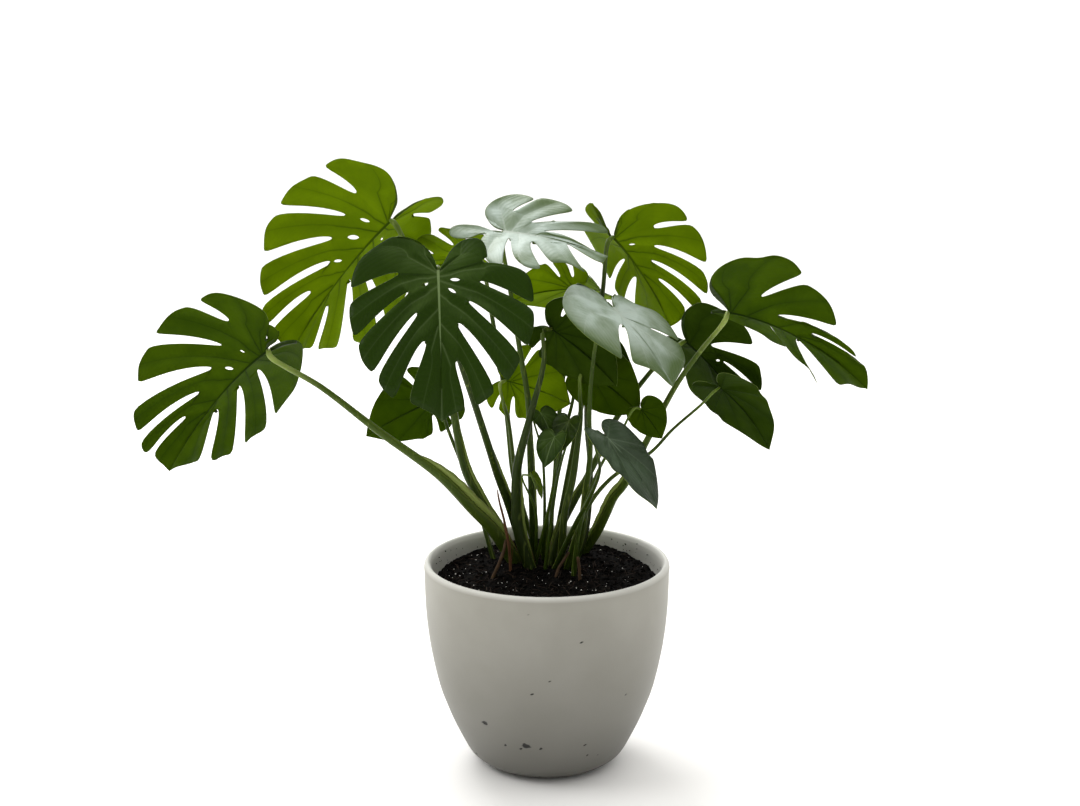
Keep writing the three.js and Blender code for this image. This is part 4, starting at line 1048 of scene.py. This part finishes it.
low_left = dict(
    foot=(-44, 74), radii=(12.5, 6.5, 3.4),
    via=[
        (-68, 62, 304), (-84, 56, 326), (-103, 50, 347), (-148, 37, 399), (-229, 21, 465),
        (-308, 4, 533),
    ],
    joint=(-375, -10, 586), heading=141, pitch=-32, roll=30, length=258,
    bend=38, fold_left=25, fold_right=25,
    left=dict(
        lobes=[
            [(-12, 10), (-26, 8), (-44, 14), (-42, 30), (-28, 29)],
            [(-27, 23), (-50, 38), (-56, 58), (-36, 92), (-20, 112), (4, 116)],
            [(22, 119), (56, 128), (92, 124)],
            [(112, 118), (140, 116), (168, 100)],
            [(200, 86), (216, 78), (229, 63)],
            [(239, 55), (247, 47), (251, 37)],
            [(247, 31), (253, 15)],
        ],
        slits=[
            (-12, 13, 1.5), (5, 66, 4.5), (48, 46, 3.5), (89, 34, 4), (132, 25, 3.5), (176, 20, 3),
        ],
        holes=[(2, 0.35, 0.5, 1.8), (3, 0.3, 0.58, 2.6)]),
    right=dict(
        lobes=[
            [
                (-10, 8), (-22, 16), (-24, 32), (-6, 56), (22, 78), (54, 100), (92, 122),
                (118, 127), (150, 130),
            ],
            [(167, 130), (184, 121), (204, 112)],
            [(219, 101), (227, 86), (236, 68)],
            [(239, 52), (244, 24)],
        ],
        slits=[(61, 29, 3.5), (98, 22, 4), (148, 18, 5)],
        holes=[]),
)
stalk("low_left", low_left, stalk_light)
wings("low_left", low_left, 0.46, 9.0)
blade("low_left", low_left, "mid")

# ------------------------------------------------------------------ the high left leaf
# The highest leaf on the left stands against the light, so its lower face glows yellow green. Its
# lobes are wide, with small holes in a row beside the midrib.
high_left = dict(
    foot=(-56, 94), radii=(8, 6, 3.4),
    via=[
        (-66, 87, 304), (-84, 85, 333), (-97, 82, 358), (-114, 79, 395), (-130, 75, 480),
        (-148, 70, 584), (-181, 64, 690),
    ],
    joint=(-212, 60, 752), heading=152, pitch=-41, roll=40, length=245,
    bend=32, fold_left=25, fold_right=25,
    left=dict(
        lobes=[
            [(-20, 12), (-36, 22), (-51, 46), (-49, 67), (-35, 90), (-20, 111), (4, 117)],
            [(21, 119), (49, 131), (82, 128)],
            [(92, 123), (118, 123), (146, 105)],
            [(161, 98), (181, 88), (197, 70)],
            [(207, 68), (219, 59), (226, 47)],
            [(231, 40), (238, 20)],
        ],
        slits=[(4, 60, 4), (39, 50, 3.5), (77, 43, 4.5), (106, 24, 4.5), (156, 22, 4)],
        holes=[(1, 0.35, 0.62, 2.4), (2, 0.32, 0.62, 3.4), (3, 0.5, 0.85, 2)]),
    right=dict(
        lobes=[
            [(-22, 4), (-48, 12), (-66, 34), (-48, 58), (-24, 56)],
            [(-16, 64), (12, 92), (49, 106), (84, 126)],
            [(104, 134), (143, 148), (167, 150)],
            [(182, 145), (195, 130), (199, 103)],
            [(212, 83), (220, 66), (227, 44)],
            [(228, 36), (234, 16)],
        ],
        slits=[(-14, 29, 2.5), (60, 44, 3.5), (98, 39, 4), (116, 22, 3.5), (162, 15, 3.5)],
        holes=[(1, 0.3, 0.45, 1.8)]),
)
stalk("high_left", high_left, stalk_green)
wings("high_left", high_left, 0.4, 3.4)
blade("high_left", high_left, "bright")

# ------------------------------------------------------------------ the front leaf
# The dark heart in front hangs on its neck with its glossy upper face to the viewer. It is the
# widest blade, with short slits and small holes close to the pale midrib.
front = dict(
    foot=(-28, 92), radii=(7, 5, 3.4),
    via=[
        (-42, 77, 308), (-53, 62, 348), (-68, 44, 396), (-79, 16, 442), (-97, -21, 513),
        (-121, -61, 603),
    ],
    joint=(-140, -110, 711), heading=-84, pitch=-63, roll=0, length=196,
    bend=18, fold_left=15, fold_right=15,
    left=dict(
        lobes=[
            [(-10, 9), (-26, 18), (-37, 32), (-39, 50), (-30, 62), (-11, 65)],
            [(-2, 70), (4, 100), (17, 117), (36, 121), (52, 121)],
            [(58, 120), (74, 121), (91, 117), (107, 111)],
            [(117, 104), (136, 93), (149, 83)],
            [(158, 70), (169, 57), (178, 43)],
            [(180, 31), (187, 12)],
        ],
        slits=[(-6, 58, 1.5), (20, 54, 2.5), (45, 39, 3), (72, 24, 4), (119, 21, 4.5)],
        holes=[(1, 0.25, 0.5, 2), (2, 0.28, 0.55, 1.8)]),
    right=dict(
        lobes=[
            [(-10, 6), (-26, 17), (-39, 34), (-42, 58), (-32, 74), (-14, 97), (6, 110), (30, 115)],
            [(45, 115), (62, 117), (80, 114), (90, 110)],
            [(96, 107), (116, 103), (135, 89)],
            [(139, 84), (155, 75), (167, 61)],
            [(169, 44), (178, 27), (187, 9)],
        ],
        slits=[(8, 53, 3), (32, 41, 2.5), (58, 30, 3), (94, 21, 5)],
        holes=[(1, 0.3, 0.55, 2.2)]),
)
stalk("front", front, stalk_dark)
wings("front", front, 0.4, 2.8)
blade("front", front, "dark")

# ------------------------------------------------------------------ the top leaf
# The top leaf lies nearly level. Its waxed upper face mirrors the bright sky, so it looks silver.
# Its near side is cut into four fingers.
top = dict(
    foot=(-18, 84), radii=(5.5, 4.2, 2.8),
    via=[(-21, 72, 354), (-23, 64, 414), (-26, 53, 503), (-36, 44, 568), (-50, 31, 661)],
    joint=(-59, 20, 742), heading=-35, pitch=1, roll=30, length=162,
    bend=20, base_bend=-60, fold_left=15, fold_right=10,
    left=dict(
        lobes=[
            [(-18, 7), (-32, 16), (-45, 30), (-38, 52), (-18, 67), (4, 67), (21, 61)],
            [(27, 62), (50, 64), (70, 60), (87, 50)],
            [(66, 29), (92, 35), (133, 42), (147, 32)],
            [(94, 10), (126, 4)],
        ],
        slits=[(0, 35, 3.5), (37, 20, 2), (62, 9, 1)],
        holes=[]),
    right=dict(
        lobes=[
            [(-24, 4), (-46, 4), (-62, 9), (-70, 24), (-60, 39), (-36, 29)],
            [(-18, 28), (2, 50), (18, 70), (38, 82), (58, 93)],
            [(52, 54), (76, 71), (89, 72), (101, 66)],
            [(107, 51), (123, 43), (140, 42), (156, 48)],
            [(161, 20), (162, 9)],
        ],
        slits=[(-20, 9, 3), (23, 19, 2.5), (58, 18, 4), (103, 4, 1)],
        holes=[]),
)
stalk("top", top, stalk_green)
wings("top", top, 0.4, 2.2)
blade("top", top, "pale", 1.2)

# ------------------------------------------------------------------ the silver leaf
# A younger leaf, right of the middle, with a single deep slit on each side. Its waxed face mirrors
# the sky too, and it droops over the stalks.
silver = dict(
    foot=(36, 58), radii=(6, 3.6, 2.4),
    via=[(52, 52, 329), (56, 40, 383), (60, 26, 438), (58, 12, 484), (60, -4, 544), (66, -22, 602)],
    joint=(87, -40, 650), heading=-33, pitch=-37, roll=0, length=134,
    bend=18, fold_left=5, fold_right=5,
    left=dict(
        lobes=[
            [(-10, 14), (-18, 26), (-12, 40), (10, 52), (26, 72), (50, 76), (81, 73)],
            [(84, 72), (104, 60), (118, 36)],
        ],
        slits=[(49, 31, 1)],
        holes=[]),
    right=dict(
        lobes=[
            [
                (-15, 4), (-32, 5), (-46, 10), (-54, 26), (-47, 54), (-30, 88), (-12, 105),
                (6, 112), (28, 111), (48, 103), (80, 76),
            ],
            [(86, 58), (100, 36), (118, 12)],
        ],
        slits=[(32, 20, 8)],
        holes=[]),
)
stalk("silver", silver, stalk_green)
wings("silver", silver, 0.35, 2.2)
blade("silver", silver, "pale")

# ------------------------------------------------------------------ the high right leaf
# A bright leaf behind, on the right. It is seen from below against the light, folded up along its
# midrib, with narrow slits between wide lobes.
high_right = dict(
    foot=(40, 80), radii=(5, 4, 3),
    via=[(53, 84, 291), (62, 94, 392), (57, 100, 462), (60, 96, 550), (76, 76, 642)],
    joint=(90, 60, 729), heading=36, pitch=-42, roll=-30, length=159,
    bend=35, base_bend=-122, fold_left=35, fold_right=35,
    left=dict(
        lobes=[
            [
                (-50, 2), (-59, 8), (-53, 32), (-25, 17), (-15, 26), (-12, 42), (-2, 68),
                (30, 84), (62, 94), (88, 100),
            ],
            [(95, 97), (112, 105), (128, 108)],
            [(136, 84), (150, 48)],
        ],
        slits=[(51, 26, 2.5), (81, 28, 3)],
        holes=[]),
    right=dict(
        lobes=[
            [(-12, 19), (-21, 32), (-21, 48), (-12, 63), (0, 71), (19, 91), (36, 96), (49, 93)],
            [(53, 94), (71, 97), (91, 92), (106, 83)],
            [(111, 75), (128, 73), (143, 64)],
            [(145, 57), (150, 50), (153, 42)],
            [(145, 31), (156, 20)],
        ],
        slits=[(28, 51, 4), (50, 36, 3), (65, 21, 2.5), (92, 16, 2.2)],
        holes=[(1, 0.22, 0.42, 1.3)]),
)
stalk("high_right", high_right, stalk_dark)
blade("high_right", high_right, "bright")

# ------------------------------------------------------------------ the far right leaf
# The widest leaf on the right hangs over on a thick pale stalk. Its lower face shows, the left half
# is folded up, and the tip points down to the right.
far_right = dict(
    foot=(51, 107), radii=(9, 5, 3),
    via=[
        (71, 93, 300), (84, 85, 329), (95, 78, 356), (109, 70, 377), (138, 49, 444),
        (176, 21, 530), (207, 2, 582),
    ],
    joint=(241, -20, 640), heading=25, pitch=-13, roll=-40, length=233,
    bend=45, fold_left=25, fold_right=15,
    left=dict(
        lobes=[
            [(-10, 10), (-14, 22), (8, 32), (34, 40), (57, 44), (80, 50), (104, 65), (126, 58)],
            [(129, 62), (150, 69), (174, 79), (193, 92)],
            [(207, 53), (217, 26)],
        ],
        slits=[(74, 14, 1.2), (116, 12, 4)],
        holes=[]),
    right=dict(
        lobes=[
            [
                (-21, 22), (-47, 42), (-59, 60), (-59, 80), (-49, 95), (-34, 104), (-12, 105),
                (5, 115), (30, 112), (46, 104), (59, 95),
            ],
            [(70, 82), (90, 81), (113, 71), (132, 57), (143, 46)],
            [(110, 25), (148, 30), (179, 31), (194, 23)],
            [(200, 22), (214, 21)],
        ],
        slits=[(32, 37, 3.5), (69, 17, 3), (124, 14, 2)],
        holes=[]),
)
stalk("far_right", far_right, stalk_light)
wings("far_right", far_right, 0.4, 5.0)
blade("far_right", far_right, "mid")

# ------------------------------------------------------------------ the back right leaf
# A dark leaf hangs in the shade behind the far right one. Its left half has two lobes and its
# right half three, and its stalk comes out of the soil in the middle of the crown.
back_right = dict(
    foot=(5, 64), radii=(7, 5, 3),
    via=[(19, 72, 311), (40, 75, 354), (69, 74, 411), (90, 78, 458), (146, 85, 537)],
    joint=(193, 90, 579), heading=15, pitch=-40, roll=-40, length=138,
    bend=30, fold_left=15, fold_right=15,
    left=dict(
        lobes=[
            [(-14, 14), (-16, 30), (10, 38), (36, 50), (56, 66), (76, 80), (98, 74)],
            [(104, 68), (116, 57), (131, 32)],
        ],
        slits=[(81, 28, 1.5)],
        holes=[]),
    right=dict(
        lobes=[
            [(-14, 13), (-34, 38), (-35, 64), (-20, 75), (2, 81), (25, 84), (44, 81), (62, 72)],
            [(87, 61), (103, 54), (122, 38)],
            [(126, 32), (135, 18)],
        ],
        slits=[(29, 22, 3.5), (58, 19, 2)],
        holes=[(1, 0.6, 0.8, 1.6)]),
)
stalk("back_right", back_right, stalk_green)
wings("back_right", back_right, 0.35, 2.6)
blade("back_right", back_right, "dark")


# ------------------------------------------------------------------ small and half-hidden leaves
# Young leaves of this kind are plain hearts. The older ones among them have two or three slits a
# side. They fill the crown between the large leaves, on thinner stalks.
HEART = [(-0.12, 0.15), (-0.21, 0.5), (-0.08, 0.86), (0.18, 1), (0.46, 0.9), (0.72, 0.6), (0.9, 0.24)]
CUT_PLACES = [(2, 3), (3, 4), (4, 5)]


def heart(**leaf):
    """Gives a small leaf both its sides: a heart outline with its slits, and seams for the veins."""
    length, half_width = leaf["length"], leaf["half_width"]
    outline = [(x * length, y * half_width) for x, y in HEART]
    lobes, slits, rest = [], [], list(outline)
    for cut in range(leaf["cuts"]):
        start, end = (np.array(outline[k]) for k in CUT_PLACES[cut])
        place = rest.index(tuple(start))
        mouth = start + (end - start) * 0.3
        lobes.append(rest[:place + 1] + [tuple(start + (end - start) * 0.2)])
        rest = [(mouth[0] + 0.05 * length, mouth[1] - 0.0075 * length)] + rest[place + 1:]
        slits.append((mouth[0] * (0.55 + 0.1 * cut) + 2, mouth[1] * 0.42, 0.018 * length))
    for k in (3, 4, 5):
        if outline[k] in rest[1:-1] and len(rest) > 3:
            place = rest.index(outline[k])
            lobes.append(rest[:place + 1])
            rest = rest[place:]
            slits.append((*outline[k], 0))
    side = dict(lobes=lobes + [rest], slits=slits, holes=[])
    folds = dict(fold_left=leaf["fold"], fold_right=leaf["fold"])
    return dict(leaf, left=side, right=side, rib=length / 200, **folds)


SMALL_LEAVES = {
    "low_right": ("dark", stalk_green, heart(
        foot=(28, 44), radii=(4.5, 3, 1.8),
        via=[(54, 32, 349), (88, 36, 394), (145, 37, 433), (174, 40, 464), (215, 47, 499)],
        joint=(239, 50, 522), heading=20, pitch=-39, roll=-30,
        length=119, half_width=54, bend=30, fold=2, cuts=0)),
    "low_front": ("dark", stalk_dark, heart(
        foot=(12, 42), radii=(4.5, 3.2, 1.8),
        via=[(40, 0, 340), (58, -45, 390), (70, -80, 440)],
        joint=(77, -110, 491), heading=-31, pitch=-38, roll=0,
        length=116, half_width=52, bend=22, fold=8, cuts=0)),
    "low_back_right": ("mid", stalk_green, heart(
        foot=(38, 20), radii=(4, 2.6, 1.5),
        via=[(47, 14, 338), (71, 14, 412), (102, 12, 468)],
        joint=(128, 4, 502), heading=-8, pitch=-50, roll=-76,
        length=50, half_width=30, bend=20, fold=10, cuts=0)),
    "behind_low_left": ("mid", stalk_green, heart(
        foot=(-76, 86), radii=(4, 3.2, 2.2),
        via=[(-102, 106, 346), (-124, 116, 402), (-145, 124, 458)],
        joint=(-152, 130, 488), heading=170, pitch=-24, roll=76,
        length=120, half_width=58, bend=30, fold=18, cuts=2)),
    "behind_high_left": ("bright", stalk_green, heart(
        foot=(-38, 108), radii=(5, 4, 2.8),
        via=[(-41, 112, 344), (-49, 122, 388), (-55, 136, 446), (-63, 142, 515), (-77, 136, 603)],
        joint=(-96, 125, 694), heading=161, pitch=-11, roll=34,
        length=138, half_width=70, bend=30, fold=15, cuts=3)),
    "behind_top": ("bright", stalk_green, heart(
        foot=(-6, 96), radii=(4.5, 3.4, 2.4),
        via=[(9, 99, 346), (17, 101, 462), (31, 98, 577)],
        joint=(42, 96, 652), heading=163, pitch=-4, roll=46,
        length=104, half_width=54, bend=25, fold=12, cuts=2)),
    "behind_high_right": ("bright", stalk_green, heart(
        foot=(10, 96), radii=(4.5, 3.4, 2.4),
        via=[(24, 106, 344), (46, 122, 459), (69, 138, 560)],
        joint=(78, 142, 640), heading=100, pitch=-2, roll=40,
        length=76, half_width=36, bend=28, fold=12, cuts=2)),
    "middle_right": ("dark", stalk_green, heart(
        foot=(6, 84), radii=(4.5, 3.2, 2),
        via=[(8, 81, 346), (13, 79, 376), (20, 74, 428), (28, 71, 464), (37, 70, 503)],
        joint=(52, 72, 577), heading=-12, pitch=-14, roll=-66,
        length=76, half_width=34, bend=25, fold=12, cuts=0)),
    "middle": ("mid", stalk_dark, heart(
        foot=(-24, 50), radii=(9.5, 6, 2.6),
        via=[
            (-37, 50, 303), (-42, 49, 331), (-43, 46, 360), (-41, 38, 410), (-22, 24, 490),
            (-4, 14, 566),
        ],
        joint=(6, 25, 609), heading=-4, pitch=-34, roll=-66,
        length=120, half_width=60, bend=26, fold=10, cuts=1)),
    "middle_left": ("bright", stalk_light, heart(
        foot=(-14, 108), radii=(4.5, 3.4, 2.2),
        via=[(-35, 98, 340), (-46, 92, 400), (-53, 88, 460)],
        joint=(-58, 84, 524), heading=6, pitch=-15, roll=-70,
        length=98, half_width=62, bend=25, fold=10, cuts=2)),
    "middle_low_right": ("mid", stalk_green, heart(
        foot=(20, 56), radii=(6, 5, 2.4),
        via=[(26, 56, 342), (36, 56, 386), (42, 56, 430), (47, 53, 478)],
        joint=(56, 45, 544), heading=0, pitch=-32, roll=-70,
        length=92, half_width=52, bend=28, fold=8, cuts=0)),
    "inner_left": ("dark", stalk_green, heart(
        foot=(-5, 77), radii=(3, 2.2, 1.4),
        via=[(-3, 60, 359), (-7, 56, 430)],
        joint=(-9, 52, 485), heading=-51, pitch=-41, roll=0,
        length=42, half_width=23, bend=20, fold=12, cuts=0)),
    "inner_right": ("mid", stalk_green, heart(
        foot=(-2, 44), radii=(3, 2.2, 1.4),
        via=[(6, 42, 330), (16, 34, 400), (26, 32, 440)],
        joint=(31, 32, 479), heading=-127, pitch=-58, roll=0,
        length=44, half_width=23, bend=20, fold=12, cuts=0)),
    "inner_front": ("dark", stalk_green, heart(
        foot=(-16, 61), radii=(3, 2.2, 1.4),
        via=[(5, 30, 365), (13, 16, 419)],
        joint=(11, 5, 463), heading=-124, pitch=-48, roll=0,
        length=46, half_width=23, bend=20, fold=12, cuts=0)),
    "inner_low": ("bright", stalk_green, heart(
        foot=(-17, 70), radii=(3, 2.2, 1.2),
        via=[(-16, 36, 349)],
        joint=(-19, 15, 404), heading=-27, pitch=-59, roll=0,
        length=34, half_width=11, bend=15, fold=14, cuts=0)),
}
FINISHES = {"low_front": "slate", "middle": "dark"}
for name, (tone, skin, leaf) in SMALL_LEAVES.items():
    stalk(name, leaf, skin)
    blade(name, leaf, tone, finish=FINISHES.get(name))
wings("middle", SMALL_LEAVES["middle"][2], 0.42, 3.6)


# ------------------------------------------------------------------ roots in the air
# The crown sends cord-like roots down into the soil, where they hold the plant. They are round and
# a little knobbly, and taper where they leave the crown.

# Corky bark over a living root: dry, matt and mottled brown.
cork, tree = new_material("root_bark_corky")
place = add(tree, "ShaderNodeTexCoord")
cloud = add(tree, "ShaderNodeTexNoise", {
    "Vector": place.outputs["Object"], "Scale": cells(8), "Detail": 5.0,
})
tone = add(tree, "ShaderNodeMix", {
    0: cloud.outputs["Fac"], 6: linear("#24170e"), 7: linear("#5f4830"),
}, data_type="RGBA")
rough = add(tree, "ShaderNodeBump", {
    "Height": cloud.outputs["Fac"], "Strength": 0.5, "Distance": 0.001,
})
surface = add(tree, "ShaderNodeBsdfPrincipled", {
    "Base Color": tone.outputs[2], "Roughness": 0.75, "Normal": rough.outputs[0],
    "Specular IOR Level": 0.2,
})
add(tree, "ShaderNodeOutputMaterial", {"Surface": surface.outputs[0]})
# Radius, and the way from the crown into the soil.
AIR_ROOTS = {
    "left": (2.6, [
        (-57, 46, 303), (-60, 34, 291), (-67, 24, 274), (-75, 18, 257), (-79, 15, 245),
        (-81, 14, 234),
    ]),
    "middle": (2.2, [(31, 30, 290), (24, 25, 280), (16, 19, 268), (12, 15, 255), (11, 14, 238)]),
    "right": (2.4, [(43, 8, 290), (45, 6, 275), (46, 4, 258), (46, 3, 238)]),
}
ROOT_STEPS = 34
for name, (radius, points) in AIR_ROOTS.items():
    line = spaced(smooth_way(points), np.linspace(0, 1, ROOT_STEPS))
    knobs = [0.92 + 0.13 * noise.noise(Vector((k / 3, radius, 2))) for k in range(ROOT_STEPS)]
    knobs[0] *= 0.6
    points, faces = tube(line, radius * np.array(knobs), 14)
    piece("root_" + name, points, faces, [cork], ["air_root_" + name])


# ------------------------------------------------------------------ the dry husk
# The sheath of a fallen leaf has dried to a thin brown rod that still stands at the crown. It is
# split and rough, with a torn upper end.

# Dried fibre: dull red-brown streaks along the sheath. They are too fine to show, so they are drawn
# 2.4 mm wide.
dry_fibre, tree = new_material("dried_sheath_fibre")
place = add(tree, "ShaderNodeTexCoord")
stretch = add(tree, "ShaderNodeMapping", {
    "Vector": place.outputs["Object"], "Scale": (1.0, 1.0, 0.1),
})
cloud = add(tree, "ShaderNodeTexNoise", {
    "Vector": stretch.outputs[0], "Scale": cells(2.4), "Detail": 4.0,
})
tone = add(tree, "ShaderNodeMix", {
    0: cloud.outputs["Fac"], 6: linear("#3c2414"), 7: linear("#7e5637"),
}, data_type="RGBA")
rough = add(tree, "ShaderNodeBump", {
    "Height": cloud.outputs["Fac"], "Strength": 0.6, "Distance": 0.001,
})
surface = add(tree, "ShaderNodeBsdfPrincipled", {
    "Base Color": tone.outputs[2], "Roughness": 0.8, "Normal": rough.outputs[0],
    "Specular IOR Level": 0.2,
})
add(tree, "ShaderNodeOutputMaterial", {"Surface": surface.outputs[0]})
HUSK = [
    (-50, 38, 240), (-51, 36, 270), (-54, 36, 304), (-60, 37, 335), (-66, 38, 360), (-69, 40, 378),
]
HUSK_RADIUS = 2.4
# Fibres that have come off it: first and last step on the husk, and how far the free end leans.
HUSK_STRANDS = [(8, 34, (5, -2, 3)), (12, 46, (-4, -3, 2)), (5, 27, (7, 1, 5)), (20, 52, (3, -4, 0))]
steps = np.linspace(0, 1, 60)
line = spaced(smooth_way(HUSK), steps)
thick = HUSK_RADIUS * np.interp(steps, [0, 0.7, 0.94, 1], [1, 0.85, 0.6, 0.25])
points, faces = tube(line, thick, 16, lambda at, a: 0.86 + 0.14 * math.cos(3 * a + 5 * at))
for start, end, lean in HUSK_STRANDS:
    gone = np.linspace(0, 1, end - start)[:, None]
    strand = line[start:end] + np.array(lean) * gone ** 1.5 + (0, -2.2, 0)
    strand_points, strand_faces = tube(strand, 0.75 * (1.1 - gone[:, 0]), 6)
    faces += [[len(points) + i for i in face] for face in strand_faces]
    points += strand_points
piece("dry_sheath", points, faces, [dry_fibre], ["husk"])


# ------------------------------------------------------------------ the studio
# A wide pale floor and a soft surround that is brighter above and behind than in front, as from
# tall windows. Soft lamps stand at the upper left and behind, and shine through the high leaves.
room = bpy.data.worlds.new("soft_surround")
room.use_nodes = True
room.node_tree.nodes.clear()
tree = room.node_tree
way = add(tree, "ShaderNodeTexCoord")
parts = add(tree, "ShaderNodeSeparateXYZ", {"Vector": way.outputs["Generated"]})
back = add(tree, "ShaderNodeMapRange", {
    "Value": parts.outputs["Y"], "From Min": -0.4, "From Max": 0.7, "To Min": 0.3, "To Max": 1.5,
})
above = add(tree, "ShaderNodeMapRange", {
    "Value": parts.outputs["Z"], "From Min": 0.3, "From Max": 1.0, "To Min": 0.0, "To Max": 0.9,
})
whole = add(tree, "ShaderNodeMath", {0: back.outputs[0], 1: above.outputs[0]}, operation="ADD")
light = add(tree, "ShaderNodeBackground", {
    "Color": (1, 0.995, 0.98, 1), "Strength": whole.outputs[0],
})
add(tree, "ShaderNodeOutputWorld", {"Surface": light.outputs[0]})
bpy.context.scene.world = room

# Pale floor paint: matt and nearly white, so the pot's soft shadow shows on it.
floor_paint, tree = new_material("pale_floor_paint")
surface = add(tree, "ShaderNodeBsdfPrincipled", {"Base Color": linear("#f7f6f4"), "Roughness": 0.9})
add(tree, "ShaderNodeOutputMaterial", {"Surface": surface.outputs[0]})
FAR = 90  # metres to the floor's edge, beyond what any view shows
floor_mesh = bpy.data.meshes.new("floor")
corners = [(-FAR, -FAR, 0), (FAR, -FAR, 0), (FAR, FAR, 0), (-FAR, FAR, 0)]
floor_mesh.from_pydata(corners, [], [[0, 1, 2, 3]])
floor_mesh.materials.append(floor_paint)
floor = bpy.data.objects.new("floor", floor_mesh)
bpy.context.scene.collection.objects.link(floor)


def soft_lamp(name, place, target, size, power):
    """A square soft lamp that points at a target."""
    lamp = bpy.data.lights.new(name, "AREA")
    lamp.size = size
    lamp.energy = power
    made = bpy.data.objects.new(name, lamp)
    made.location = place
    made.rotation_euler = (Vector(target) - Vector(place)).to_track_quat("-Z", "Y").to_euler()
    bpy.context.scene.collection.objects.link(made)


soft_lamp("lamp_upper_left", (-2.4, -0.6, 2.6), (0, 0, 0.5), 1.4, 26)
soft_lamp("lamp_behind", (-1.1, 2.4, 2.6), (0, 0, 0.6), 1.8, 60)

# A long lens, 2.6 m in front and a little above the leaves, looks down on the plant by 13 degrees.
DOWN = 13
camera = bpy.data.cameras.new("camera")
camera.sensor_width = 36
camera.lens = 65.467
eye = bpy.data.objects.new("camera", camera)
eye.location = (-0.0094, -2.6, 1.111)
eye.rotation_euler = (math.radians(90 - DOWN), 0, 0)
bpy.context.scene.collection.objects.link(eye)
bpy.context.scene.camera = eye
bpy.context.scene.view_settings.view_transform = "Standard"

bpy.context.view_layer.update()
